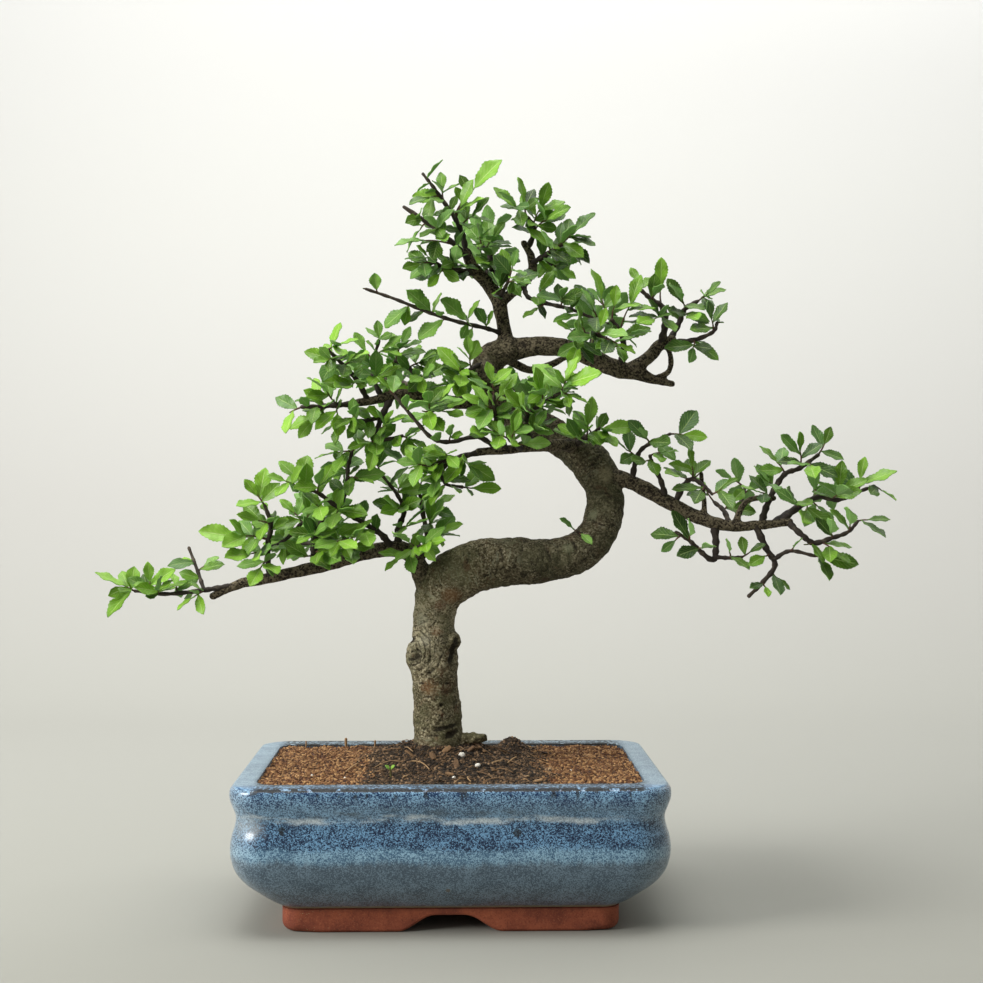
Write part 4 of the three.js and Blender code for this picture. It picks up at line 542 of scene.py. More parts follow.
class Route:
    """Smooth stem through listed stations. A station is counted along its points."""

    def __init__(self, stations):
        self.points = np.array([place(*station[:3]) for station in stations])
        self.radii = [station[3] for station in stations]
        self.last = len(stations) - 1

    def point(self, station):
        index = min(int(station), self.last - 1)
        share = station - index
        here, there = self.points[index], self.points[index + 1]
        before = self.points[index - 1] if index else 2 * here - there
        after = self.points[index + 2] if index + 2 <= self.last else 2 * there - here
        return spline(before, here, there, after, share)

    def radius(self, station):
        index = min(int(station), self.last - 1)
        return self.radii[index] + (self.radii[index + 1] - self.radii[index]) * (station - index)

    def walk(self, steps_per_span):
        """Centres and radii at even steps of the station."""
        stations = [step / steps_per_span for step in range(self.last * steps_per_span + 1)]
        centres = np.array([self.point(station) for station in stations])
        return centres, np.array([self.radius(station) for station in stations])


class Draws:
    """Repeatable draws between 0 and 1."""

    def __init__(self, seed):
        self.state = seed * SEED_STEP + SEED_START
        self()
        self()

    def __call__(self):
        self.state = (self.state * DRAW_FACTOR + DRAW_STEP) % DRAW_RANGE
        return self.state / DRAW_RANGE


def half_width(leaf, share):
    inside = np.clip(share, 0, 1)
    return leaf.width / 2 * np.sin(math.pi * inside ** 1.25) ** 0.8


def blade_point(leaf, share, sideways):
    """Places on a blade's middle surface, at shares of its length and distances to its side."""
    share = np.asarray(share, float)[..., None]
    sideways = np.asarray(sideways, float)[..., None]
    rise = leaf.fold * np.abs(sideways) - leaf.arch * leaf.length * share * share
    return leaf.base + leaf.axis * leaf.length * share + leaf.side * sideways + leaf.normal * rise


def blade_samples(leaf):
    """Points that stand for a blade when it is tested against its neighbours, from its root outwards."""
    share = np.repeat(0.1 + 0.09 * np.arange(1, 11), 3)
    return blade_point(leaf, share, half_width(leaf, share) * np.tile((1, -1, 0), 10))


def near_blade(leaf, points, clearance):
    offset = points - leaf.base
    share = offset @ leaf.axis / leaf.length
    sideways = np.abs(offset @ leaf.side)
    rise = leaf.fold * sideways - leaf.arch * leaf.length * share * share
    inside = (share >= 0.05) & (share <= 1.03)
    inside &= sideways <= half_width(leaf, np.minimum(share, 0.97)) + 0.6
    return bool(np.any(inside & (np.abs(offset @ leaf.normal - rise) < clearance)))


class Stems:
    """Straight stretches of every stem, which leaves keep clear of."""

    def __init__(self):
        self.rows = []

    def add(self, centres, radii, owner=-1):
        for start, end, radius in zip(centres[:-1], centres[1:], radii):
            self.rows.append((*start, *(end - start), radius, owner))

    def close(self):
        table = np.array(self.rows)
        self.start, self.run = table[:, :3], table[:, 3:6]
        self.radius, self.owner = table[:, 6], table[:, 7]
        self.half = np.linalg.norm(self.run, axis=1) / 2
        self.middle = self.start + self.run / 2

    def touch(self, leaf, samples, owner):
        reach = leaf.length / 2 + self.half + 5
        near = np.linalg.norm(self.middle - blade_point(leaf, 0.5, 0), axis=1) <= reach
        if not near.any():
            return False
        run = self.run[near]
        offset = samples[:, None, :] - self.start[near][None]
        share = np.clip(np.sum(offset * run, axis=2) / np.sum(run * run, axis=1), 0, 1)
        gap = np.linalg.norm(offset - share[..., None] * run, axis=2) - self.radius[near]
        gap[:12, self.owner[near] == owner] = np.inf
        return bool(np.any(gap < STEM_CLEARANCE))


def bezier(shoot, share):
    share = np.asarray(share, float)[..., None]
    return (1 - share) ** 2 * shoot.start + 2 * share * (1 - share) * shoot.bend + share ** 2 * shoot.end


def grow_shoot(route, row, seed):
    """A shoot runs from the middle of its branchlet towards the tip of its last leaf."""
    station, across, down, depth, leaves = row[:5]
    size = row[5] if len(row) > 5 else LEAF_SIZE
    start = route.point(station)
    reach = place(across, down, depth)
    run = reach - start
    shortest = route.radius(station) + (2.2 * leaves if leaves > 1 else 1)
    length = max(np.linalg.norm(run) - 0.95 * size, shortest)
    direction = unit(run)
    ahead = min(station + 0.01, route.last)
    tangent = unit(route.point(ahead) - route.point(ahead - 0.01))
    end = start + direction * length
    bend = start + direction * 0.5 * length + tangent * 0.15 * length
    draw = Draws(seed)
    hand = 1 if draw() < 0.5 else -1
    return SimpleNamespace(
        start=start, bend=bend, end=end, length=length, leaves=leaves, size=size, draw=draw, reach=reach,
        hand=hand, seed=seed,
    )


def light_side(point):
    """Way in which the upper face of a leaf turns, towards the light above and outwards."""
    front = -0.65 if point[1] < FRONT_HALF_ENDS else 0.65
    return unit(np.array((0.12 * np.sign(point[0]), front, 0.75)))


def leaf_normal(light, axis, tilt):
    """Way that the upper face of a leaf points: to the light, but for a tilt in degrees."""
    flat = square_to(light, axis)
    turn = math.radians(tilt)
    return unit(flat * math.cos(turn) + np.cross(axis, flat) * math.sin(turn))


def leaf_shape(base, axis, normal, length, width, arch, fold, rank=0):
    return SimpleNamespace(
        base=base, axis=axis, normal=normal, side=np.cross(normal, axis), length=length, width=width,
        arch=arch, fold=fold, rank=rank,
    )


def grow_leaf(shoot, rank):
    draw, leaves = shoot.draw, shoot.leaves
    index = leaves - 1 - rank
    terminal = rank == 0
    share = 0.3 + 0.7 * index / (leaves - 1) if leaves > 1 else 1
    base = bezier(shoot, share)
    along = unit(shoot.reach - base) if terminal else unit(shoot.end - shoot.start)
    light = light_side(base)
    up = square_to(light, along)
    sideways = np.cross(along, up) * shoot.hand * (-1 if index % 2 else 1)
    spread = 14 * (draw() - 0.5) if terminal else 68 - 26 * index / (leaves - 1) + 26 * (draw() - 0.5)
    lift = (12 if terminal else 34) * (draw() - 0.5)
    turn, raised = math.radians(spread), math.radians(lift)
    level = along * math.cos(turn) + sideways * math.sin(turn)
    axis = unit(level * math.cos(raised) + up * math.sin(raised))
    room = np.linalg.norm(shoot.reach - base)
    wanted = shoot.size * ((0.92 if terminal else 0.76) + 0.26 * draw())
    longest = max(1.05 * room, 0.62 * shoot.size) if terminal else wanted
    length = min(wanted, longest) if leaves > 1 else room
    width = length * (shoot.broad + 0.1 * draw())
    normal = leaf_normal(light, axis, 70 * (draw() - 0.5))
    arch = 0.22 * draw() - 0.03
    return leaf_shape(base, axis, normal, length, width, arch, 0.1 + 0.2 * draw(), rank)


class Canopy:
    """The leaves that have found their place between the stems."""

    def __init__(self, stems):
        self.stems = stems
        self.leaves = []
        self.middles = np.empty((0, 3))

    def takes(self, leaf, shoot, seed, clearance=LEAF_CLEARANCE):
        """Keeps a leaf that touches no other leaf, and no stem but its own shoot."""
        samples = blade_samples(leaf)
        middle = blade_point(leaf, 0.5, 0)
        apart = np.linalg.norm(self.middles - middle, axis=1)
        for index in np.flatnonzero(apart < NEIGHBOUR_REACH):
            other = self.leaves[index]
            if apart[index] >= (leaf.length + other.length) / 2 + 3:
                continue
            first = 6 if other.shoot is shoot else 0
            near = near_blade(other, samples[first:], clearance)
            if near or near_blade(leaf, other.samples[first:], clearance):
                return False
        if self.stems.touch(leaf, samples, shoot.seed):
            return False
        leaf.shoot, leaf.seed, leaf.samples = shoot, seed, samples
        self.leaves.append(leaf)
        self.middles = np.vstack((self.middles, middle))
        return True


def fill_leaf(draw, base, along):
    """A small leaf that leans any way out of a stem."""
    light = light_side(base)
    up = square_to(light, along)
    turn = 2 * math.pi * draw()
    forwards = along * (0.15 + 0.6 * draw())
    axis = unit(forwards + np.cross(along, up) * math.cos(turn) + up * (0.2 + 0.7 * math.sin(turn)))
    normal = leaf_normal(light, axis, 110 * (draw() - 0.5))
    length = FILL_SHORTEST + (FILL_LONGEST - FILL_SHORTEST) * draw()
    width = length * (0.5 + 0.14 * draw())
    arch = 0.25 * draw() - 0.03
    return leaf_shape(base, axis, normal, length, width, arch, 0.08 + 0.2 * draw(), FILL_RANK)


def fill_spray(canopy, name, routes, shoots, seed):
    """Small leaves between a spray's own, where they have room inside the box of its node."""
    low, high = (np.array(corner) / MM - (POT_MIDDLE_X, POT_MIDDLE_Y, 0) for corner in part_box(name))
    draw = Draws(seed)
    perches = [SimpleNamespace(name=name, seed=-1) for _ in routes]
    wanted = FILL_PER_SHOOT.get(name.split("_")[1], 1) * len(shoots)
    for attempt in range(FILL_TRIES * wanted):
        if draw() < 0.6:
            perch = shoots[int(draw() * len(shoots))]
            base = bezier(perch, 0.15 + 0.8 * draw())
            along = unit(perch.end - perch.start)
        else:
            number = int(draw() * len(routes))
            perch, route = perches[number], routes[number]
            station = route.last * (0.25 + 0.7 * draw())
            base = route.point(station)
            along = unit(route.point(station + 0.02) - base)
        leaf = fill_leaf(draw, base, along)
        samples = blade_samples(leaf)
        inside = np.all(samples.min(axis=0) > low) and np.all(samples.max(axis=0) < high)
        if wanted and inside and canopy.takes(leaf, perch, seed + attempt, FILL_CLEARANCE):
            wanted -= 1


def grow_tree():
    """All shoots first, then the leaves from the tips inwards, and then small ones between them."""
    stems = Stems()
    for stations in [*BRANCHES.values(), TRUNK]:
        stems.add(*Route(stations).walk(2))
    shoots = []
    branchlets = {}
    for name, stations, rows, *breadth in FOLIAGE:
        routes = branchlets.setdefault(name, [])
        seed = SPRAY_SEEDS * (len(branchlets) - 1) + BRANCHLET_SEEDS * len(routes)
        route = Route(stations)
        routes.append(route)
        stems.add(*route.walk(2))
        for index, row in enumerate(rows):
            shoot = grow_shoot(route, row, seed + index)
            shoot.name = name
            shoot.broad = breadth[0] if breadth else BLADE_BREADTH
            shoots.append(shoot)
    for shoot in shoots:
        stems.add(bezier(shoot, np.arange(4) / 3), [SHOOT_RADIUS] * 3, shoot.seed)
    stems.close()
    canopy = Canopy(stems)
    for rank in range(4):
        for shoot in [one for one in shoots if one.leaves > rank]:
            for _ in range(LEAF_TRIES):
                leaf = grow_leaf(shoot, rank)
                if canopy.takes(leaf, shoot, 4 * shoot.seed + rank):
                    break
    for spray, (name, routes) in enumerate(branchlets.items()):
        own = [shoot for shoot in shoots if shoot.name == name]
        fill_spray(canopy, name, routes, own, FILL_SEED + SPRAY_SEEDS * spray)
    return branchlets, shoots, canopy.leaves


class Skin:
    """Collects the points, faces and marks of one piece, in millimetres from the middle of the pot."""

    def __init__(self, *marks):
        self.points, self.faces, self.material_of, self.places = [], [], [], []
        self.marks = {mark: [] for mark in marks}
        self.count = 0

    def add(self, points, faces, material=0, places=None, **marks):
        """Adds a shell. A mark is one number for the shell or one for each of its points."""
        points = np.asarray(points, float)
        self.points.append(points)
        self.faces.extend((np.asarray(face) + self.count).tolist() for face in faces)
        self.material_of.extend([material] * len(faces))
        self.places.append(np.zeros((len(points), 2)) if places is None else places)
        for mark, rows in self.marks.items():
            rows.append(np.broadcast_to(np.asarray(marks.get(mark, 0.0), float), len(points)))
        self.count += len(points)

    def piece(self, name, materials, uv_name=None, sharp_angle=None):
        piece = mesh_piece(name, to_frame(np.concatenate(self.points)), self.faces, materials)
        mesh = piece.data
        mesh.polygons.foreach_set("material_index", self.material_of)
        for mark, rows in self.marks.items():
            mark_points(mesh, mark, np.concatenate(rows))
        if uv_name:
            corner_point = np.empty(len(mesh.loops), int)
            mesh.loops.foreach_get("vertex_index", corner_point)
            places = np.concatenate(self.places)[corner_point]
            mesh.uv_layers.new(name=uv_name).data.foreach_set("uv", places.ravel())
        if sharp_angle:
            mesh.set_sharp_from_angle(angle=sharp_angle)
        return piece


def mesh_piece(name, points, faces, materials):
    mesh = bpy.data.meshes.new(name)
    mesh.from_pydata(np.asarray(points).tolist(), [], faces)
    mesh.polygons.foreach_set("use_smooth", [True] * len(mesh.polygons))
    for material in materials:
        mesh.materials.append(material)
    piece = bpy.data.objects.new(name, mesh)
    bpy.context.scene.collection.objects.link(piece)
    return piece


def mark_points(mesh, name, values):
    mesh.attributes.new(name, "FLOAT", "POINT").data.foreach_set("value", values)


def settle(piece, slot, *nodes):
    """The piece rides with the plant and stands for its nodes of the frame."""
    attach(piece, "root")
    if nodes:
        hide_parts(*nodes)


def evaluated_mesh(piece):
    """What a piece's modifiers make of its mesh."""
    depsgraph = bpy.context.evaluated_depsgraph_get()
    return bpy.data.meshes.new_from_object(piece.evaluated_get(depsgraph), depsgraph=depsgraph)


def remove_piece(piece):
    mesh = piece.data
    bpy.data.objects.remove(piece)
    bpy.data.meshes.remove(mesh)


def mesh_points(mesh):
    points = np.empty(3 * len(mesh.vertices))
    mesh.vertices.foreach_get("co", points)
    return points.reshape(-1, 3)


def ring_faces(rings, sides, closed=False):
    """Quads between rings of points, each ring anticlockwise seen from the way that they advance."""
    faces = []
    for ring in range(rings if closed else rings - 1):
        here, there = ring * sides, (ring + 1) % rings * sides
        for side in range(sides):
            beside = (side + 1) % sides
            faces.append((here + side, here + beside, there + beside, there + side))
    return faces


def capped_faces(rings, sides):
    """Quads between rings of points, and a face over the first and the last ring."""
    last = (rings - 1) * sides
    return ring_faces(rings, sides) + [tuple(range(sides - 1, -1, -1)), tuple(range(last, last + sides))]


def frames_along(centres):
    """Unit tangents and two square directions that turn as little as they can."""
    ahead = np.concatenate((centres[1:], centres[-1:]))
    behind = np.concatenate((centres[:1], centres[:-1]))
    tangents = ahead - behind
    tangents /= np.linalg.norm(tangents, axis=1)[:, None]
    across = np.empty_like(tangents)
    direction = np.array((0.0, 1.0, 0.0))
    for index, tangent in enumerate(tangents):
        direction = square_to(direction, tangent)
        across[index] = direction
    return tangents, across, np.cross(tangents, across)


def sweep(centres, radii, sides):
    """Closed skin round a stem with a rounded tip: points, faces and the distance along the stem."""
    tangent = unit(centres[-1] - centres[-2])
    tip = np.array([centres[-1] + tangent * radii[-1] * share for share in (0.45, 0.8, 0.96)])
    tip_radii = radii[-1] * np.array((0.88, 0.58, 0.2))
    centres = np.concatenate((centres, tip))
    radii = np.concatenate((radii, tip_radii))
    _, across, upright = frames_along(centres)
    angle = 2 * math.pi * np.arange(sides) / sides
    spokes = across[:, None] * np.cos(angle)[None, :, None] + upright[:, None] * np.sin(angle)[None, :, None]
    points = (centres[:, None] + spokes * radii[:, None, None]).reshape(-1, 3)
    steps = np.linalg.norm(np.diff(centres, axis=0), axis=1)
    along = np.repeat(np.concatenate(((0,), np.cumsum(steps))), sides)
    return points, capped_faces(len(centres), sides), along


def globe(middle, half_sizes, rings=14, sides=20):
    """Closed ball through rings of latitude, stretched to its half sizes."""
    latitude = math.pi * (np.arange(1, rings) / rings - 0.5)
    angle = 2 * math.pi * np.arange(sides) / sides
    across = np.cos(latitude)[:, None]
    points = np.stack((
        across * np.cos(angle), across * np.sin(angle), np.sin(latitude)[:, None] + 0 * angle,
    ), axis=2).reshape(-1, 3)
    points = np.concatenate((points, ((0, 0, -1), (0, 0, 1))))
    faces = ring_faces(rings - 1, sides)
    bottom, top, last = len(points) - 2, len(points) - 1, (rings - 2) * sides
    for side in range(sides):
        beside = (side + 1) % sides
        faces.append((bottom, beside, side))
        faces.append((top, last + side, last + beside))
    return points * half_sizes + middle, faces


def limb_samples():
    """Points about a millimetre apart on the middle of every limb, with their directions."""
    rows = []
    for limb, stations in enumerate([TRUNK, *BRANCHES.values()]):
        centres, radii = Route(stations).walk(12)
        tangents, across, upright = frames_along(centres)
        steps = np.linalg.norm(np.diff(centres, axis=0), axis=1)
        along = np.concatenate(((0,), np.cumsum(steps)))
        number = np.full(len(centres), limb)
        rows.append(np.column_stack((centres, across, upright, tangents, radii, along, number)))
    return np.concatenate(rows)


def bark_places(points):
    """Where points lie on their nearest limb: distance along it, the two square offsets and its radius."""
    limbs = limb_samples()
    places = np.empty((len(points), 3))
    girth = np.empty(len(points))
    number = np.empty(len(points))
    for first in range(0, len(points), POINTS_AT_ONCE):
        chunk = points[first:first + POINTS_AT_ONCE]
        distance = np.linalg.norm(chunk[:, None, :] - limbs[None, :, :3], axis=2)
        nearest = limbs[np.argmin(distance - limbs[:, 12], axis=1)]
        offset = chunk - nearest[:, :3]
        rows = slice(first, first + len(chunk))
        ahead = np.sum(offset * nearest[:, 9:12], axis=1)
        places[rows, 0] = nearest[:, 13] + ahead + LIMB_SHIFT * nearest[:, 14]
        places[rows, 1] = np.sum(offset * nearest[:, 3:6], axis=1)
        places[rows, 2] = np.sum(offset * nearest[:, 6:9], axis=1)
        girth[rows] = nearest[:, 12]
        number[rows] = nearest[:, 14]
    return places, girth, number


def noise_at(points, scale, shift=0.0):
    """Smooth noise from -1 to 1 at points, whose sizes of blob are given by the scale."""
    scaled = np.asarray(points) / scale + shift
    return np.array([noise.noise(Vector(point)) for point in scaled])


def smooth_mesh(points, faces, times):
    """Moves points towards the middle of their neighbours, then back out, which keeps the girth."""
    edges = np.concatenate([faces[:, (side, (side + 1) % 4)] for side in range(4)])
    count = np.bincount(edges[:, 0], minlength=len(points)) + np.bincount(edges[:, 1], minlength=len(points))
    for share in (0.55, -0.57) * times:
        total = np.zeros_like(points)
        for axis in range(3):
            total[:, axis] = np.bincount(edges[:, 0], points[edges[:, 1], axis], len(points))
            total[:, axis] += np.bincount(edges[:, 1], points[edges[:, 0], axis], len(points))
        points = points + share * (total / count[:, None] - points)
    return points


def point_normals(points, faces):
    corners = points[faces]
    square = np.cross(corners[:, 2] - corners[:, 0], corners[:, 3] - corners[:, 1])
    normals = np.zeros_like(points)
    for side in range(4):
        for axis in range(3):
            normals[:, axis] += np.bincount(faces[:, side], square[:, axis], len(points))
    return normals / np.linalg.norm(normals, axis=1)[:, None]


def crack_depths(points):
    """Depth of the placed cracks at each point of the front of the trunk."""
    depths = np.zeros(len(points))
    for start, end, half, depth in BARK_CRACKS:
        first, last = place(*start, -12)[[0, 2]], place(*end, -12)[[0, 2]]
        run = last - first
        offset = points[:, [0, 2]] - first
        share = np.clip(offset @ run / (run @ run), 0, 1)
        wobble = 0.7 * noise_at(points, 2.3, half)
        away = np.linalg.norm(offset - share[:, None] * run, axis=1) + wobble
        taper = 1 - 0.6 * np.abs(2 * share - 1) ** 3
        depths = np.maximum(depths, depth * taper * np.exp(-(away / (1.3 * half)) ** 2))
    return depths * (points[:, 1] < 4)


def bark_relief(points, places, girth):
    """Height of the bark over its smooth limb, and how deep its cracks, creases and scar eyes are, which sets
    the painted shade in them.
    """
    stout = np.clip(girth / 11, 0.12, 1.1)
    lumps = noise_at(points, 11) * 0.9 * stout + noise_at(points, 4.5, 7) * np.maximum(0.5 * stout, 0.34)
    wander = noise_at(points, 8, 3) * 3.5
    across = np.column_stack((places[:, 0] + wander, places[:, 1], places[:, 2])) / (3.2, 15, 15)
    wrinkles = noise_at(across, 1) * 0.32 * stout
    lines = 1 - np.clip(np.abs(noise_at(across, 1, 31)) / 0.12, 0, 1)
    creases = lines * np.clip(noise_at(points, 22, 5) * 2 + 0.2, 0, 1) * stout ** 1.5
    scales = noise_at(points, 1.8, 9) * 0.26 * stout
    cracks = crack_depths(points)
    relief = lumps + wrinkles + scales - 0.55 * creases - cracks
    hollow = 0.5 * creases + cracks
    for across_view, down_view, depth, radius in SCAR_EYES:
        away = np.linalg.norm(points - place(across_view, down_view, depth), axis=1)
        near = np.exp(-(away / radius) ** 2)
        curl = np.cos(2 * math.pi * away / 2.6 + 3 * noise_at(points, 4, 11)) * near
        lip = 0.9 * np.exp(-((away - 0.6 * radius) / (0.25 * radius)) ** 2)
        eye = np.exp(-(away / (0.3 * radius)) ** 2)
        relief += 0.5 * curl + lip - 1.7 * eye
        hollow += 0.45 * np.clip(-curl, 0, 1) + 0.8 * eye
    return relief, np.clip(hollow, 0, 1)


def grow_wood(voxel, materials):
    """Trunk and branches melted into one skin, with the relief of their bark."""
    block = Skin()
    for name, stations in {"trunk": TRUNK, **BRANCHES}.items():
        centres, radii = Route(stations).walk(8)
        points, faces, _ = sweep(centres, radii + 0.12, TRUNK_SIDES if name == "trunk" else BRANCH_SIDES)
        block.add(points, faces)
    for across, down, depth, *half_sizes in TRUNK_SCARS:
        block.add(*globe(place(across, down, depth), np.array(half_sizes) * 0.94))
    rough = mesh_piece("wood_block", np.concatenate(block.points), block.faces, [])
    melt = rough.modifiers.new("Melt", "REMESH")
    melt.mode = "VOXEL"
    melt.voxel_size = voxel
    melted = evaluated_mesh(rough)
    points = mesh_points(melted)
    faces = np.empty(len(melted.loops), int)
    melted.loops.foreach_get("vertex_index", faces)
    faces = faces.reshape(-1, 4)
    bpy.data.meshes.remove(melted)
    remove_piece(rough)
    points = smooth_mesh(points, faces, 3)
    places, girth, number = bark_places(points)
    stub = number == 1
    girth = np.where(stub, 10, girth)
    relief, hollow = bark_relief(points, places, girth)
    relief += stub * (1.6 * noise_at(points, 4.2, 17) + 0.7 * noise_at(points, 1.9, 3) - 0.4)
    points = points + point_normals(points, faces) * relief[:, None]
    wood = mesh_piece("tree_bark", to_frame(points), faces.tolist(), materials)
    grain = wood.data.attributes.new("grain", "FLOAT_VECTOR", "POINT")
    grain.data.foreach_set("vector", places.ravel())
    mark_points(wood.data, "girth", girth)
    mark_points(wood.data, "hollow", hollow)
    settle(wood, "bark", "tree_wood")


def plate_shell(middle, rows, half):
    """Closed plate around rows of points on its middle, half its thickness to either side."""
    count = len(middle)
    row = count // rows
    faces = []
    for station in range(rows - 1):
        for column in range(row - 1):
            a = station * row + column
            b = a + row
            faces.append((a, b, b + 1, a + 1))
            faces.append((count + a, count + a + 1, count + b + 1, count + b))
        left, right = station * row, station * row + row - 1
        faces.append((left, left + count, left + count + row, left + row))
        faces.append((right, right + row, right + count + row, right + count))
    for column in range(row - 1):
        foot, tip = column, (rows - 1) * row + column
        faces.append((foot, foot + 1, foot + 1 + count, foot + count))
        faces.append((tip, tip + count, tip + 1 + count, tip + 1))
    return np.concatenate((middle + half, middle - half)), faces


def blade_shell(leaf, wave, blunt, stations=BLADE_STATIONS, across=BLADE_ACROSS):
    """Closed blade with a toothed edge, a tapered tip, a neck, ribs between its veins and a waved edge."""
    share = np.linspace(0, 1, stations)
    teeth = 1 - TOOTH_DEPTH * (np.arange(stations) % 2) * np.clip((share - 0.12) / 0.1, 0, 1)
    point = 1 - TIP_TAPER * np.clip((share - 0.66) / 0.34, 0, 1)
    outline = leaf.width / 2 * np.sin(math.pi * share ** blunt).clip(0) ** 0.6 * point
    width = np.maximum(outline * teeth, NECK_HALF_WIDTH * (1 - 0.75 * share))
    spans = np.array(across)
    along = np.repeat(share, len(spans))
    outward = np.tile(spans, stations)
    sideways = np.repeat(width, len(spans)) * outward
    middle = blade_point(leaf, along, sideways)
    quilt = 0.016 * leaf.width * np.cos(2 * math.pi * (VEIN_PAIRS * along - VEIN_SLANT * np.abs(outward)))
    quilt *= np.sin(math.pi * np.abs(outward)) * np.sin(math.pi * along)
    ripple = 0.045 * leaf.width * np.sin(2 * math.pi * (2.3 * along + wave) + outward) * np.abs(outward) ** 3
    keel = -0.02 * leaf.width * (1 - np.abs(outward)) ** 4 * np.sin(math.pi * along)
    middle = middle + leaf.normal * (quilt + ripple + keel)[:, None]
    points, faces = plate_shell(middle, stations, leaf.normal * BLADE_THICKNESS / 2)
    places = np.column_stack((outward / 2 + 0.5, along))
    under = np.repeat((0.0, 1.0), len(middle))
    return points, faces, np.concatenate((places, places)), under


def leaf_tone(leaf, draw):
    """From 0, an old dark leaf, to 1, a young bright one at the end of its shoot, with painted light and
    shade added by the part of the tree it grows in.
    """
    # Painted light and shade by the part of the tree is added to the tone of the leaf's rank.
    fresh_and_lit = (0.62, 0.46, 0.42, 0.4, 0.3)[leaf.rank] + PAINTED_LIGHT_BY_PART.get(leaf.shoot.name.split("_")[1], 0)
    return min(1.0, max(0.0, fresh_and_lit + 0.66 * (draw() - 0.5)))


def branchlet_skin(route):
    """A twig's centres and radii, with the small joints that buds leave on it."""
    centres, radii = route.walk(6)
    joints = np.sin(np.arange(len(radii)) * 2.1 + radii[0] * 40)
    return centres, radii * (0.94 + 0.17 * joints)


def grow_sprays(materials):
    """One piece for each spray: its branchlets, shoots and leaves."""
    branchlets, shoots, leaves = grow_tree()
    for name, routes in branchlets.items():
        skin = Skin("tone", "under", "young", "seed")
        for number, route in enumerate(routes):
            points, faces, along = sweep(*branchlet_skin(route), 8)
            skin.add(points, faces, 1, young=0.35 * along / along.max(), seed=0.13 * number)
        for shoot in [one for one in shoots if one.name == name]:
            share = np.arange(9) / 8
            points, faces, along = sweep(bezier(shoot, share), SHOOT_RADIUS * (1.25 - 0.5 * share), 6)
            skin.add(points, faces, 1, young=0.5 + 0.5 * along / along.max(), seed=shoot.seed * 0.37 % 1)
        for leaf in [one for one in leaves if one.shoot.name == name]:
            draw = Draws(leaf.seed)
            tone, wave, seed, blunt = leaf_tone(leaf, draw), draw(), draw(), 1.3 + 0.3 * draw()
            shape = (FILL_STATIONS, FILL_ACROSS) if leaf.rank == FILL_RANK else (BLADE_STATIONS, BLADE_ACROSS)
            points, faces, places, under = blade_shell(leaf, wave, blunt, *shape)
            skin.add(points, faces, 0, places, tone=tone, under=under, seed=seed)
        piece = skin.piece("leaves_" + name[len("spray_"):], materials, "blade", LEAF_SHARP)
        settle(piece, "leaf", name)


def rounded_outline(half_length, half_depth, corner, long_steps=30, short_steps=20, corner_steps=12):
    """Points round a rounded rectangle, anticlockwise from the right, and the ways out at them."""
    points, outwards = [], []
    sides = [(1, 0, short_steps), (0, 1, long_steps), (-1, 0, short_steps), (0, -1, long_steps)]
    for quarter, (out_x, out_y, steps) in enumerate(sides):
        flat = half_depth - corner if out_x else half_length - corner
        for step in range(steps):
            run = flat * (2 * step / steps - 1)
            reach = half_length if out_x else half_depth
            points.append((out_x * reach - out_y * run, out_y * reach + out_x * run))
            outwards.append((out_x, out_y))
        sign_x = 1 if quarter in (0, 3) else -1
        sign_y = 1 if quarter in (0, 1) else -1
        for step in range(corner_steps):
            angle = (quarter + step / corner_steps) * math.pi / 2
            out = (math.cos(angle), math.sin(angle))
            x = sign_x * (half_length - corner) + corner * out[0]
            y = sign_y * (half_depth - corner) + corner * out[1]
            points.append((x, y))
            outwards.append(out)
    return np.array(points), np.array(outwards)


def smooth_rows(rows, steps):
    """Rows of numbers with smooth ones between them, through the same values."""
    table = np.array(rows, float)
    table = np.concatenate((2 * table[:1] - table[1:2], table, 2 * table[-1:] - table[-2:-1]))
    smooth = []
    for index in range(1, len(table) - 2):
        smooth += [spline(*table[index - 1:index + 3], step / steps) for step in range(steps)]
    smooth.append(table[-2])
    return smooth


def rim_rows():
    """The rolled lip between the outer and the inner wall, thrown as a half round."""
    outer, inner = POT_OUTSIDE[-2], POT_INSIDE[1]
    rows = []
    for step in range(1, 12):
        share = step / 12
        slide = (1 - math.cos(math.pi * share)) / 2
        height = outer[0] + (POT_OUTSIDE[-1][0] - outer[0]) * math.sin(math.pi * share) ** 0.45
        rows.append((height, *(outer[i] + (inner[i] - outer[i]) * slide for i in (1, 2, 3))))
    return rows


def bowl_shell():
    levels = smooth_rows(POT_OUTSIDE[:-1], 6) + rim_rows() + smooth_rows(POT_INSIDE[1:], 5)
    rings = []
    for height, half_length, half_depth, corner in levels:
        outline, _ = rounded_outline(half_length, half_depth, max(corner, 4))
        rings.append(np.column_stack((outline, np.full(len(outline), height))))
    return np.concatenate(rings), capped_faces(len(rings), len(rings[0]))


def arch_height(arch, run):
    """Height of the ogee arch over a distance along its side."""
    away = abs(run - arch["middle"])
    share = min(1, max(0, (arch["foot"] - away) / (arch["foot"] - arch["top"])))
    return arch["height"] * (1 - math.cos(math.pi * share)) / 2


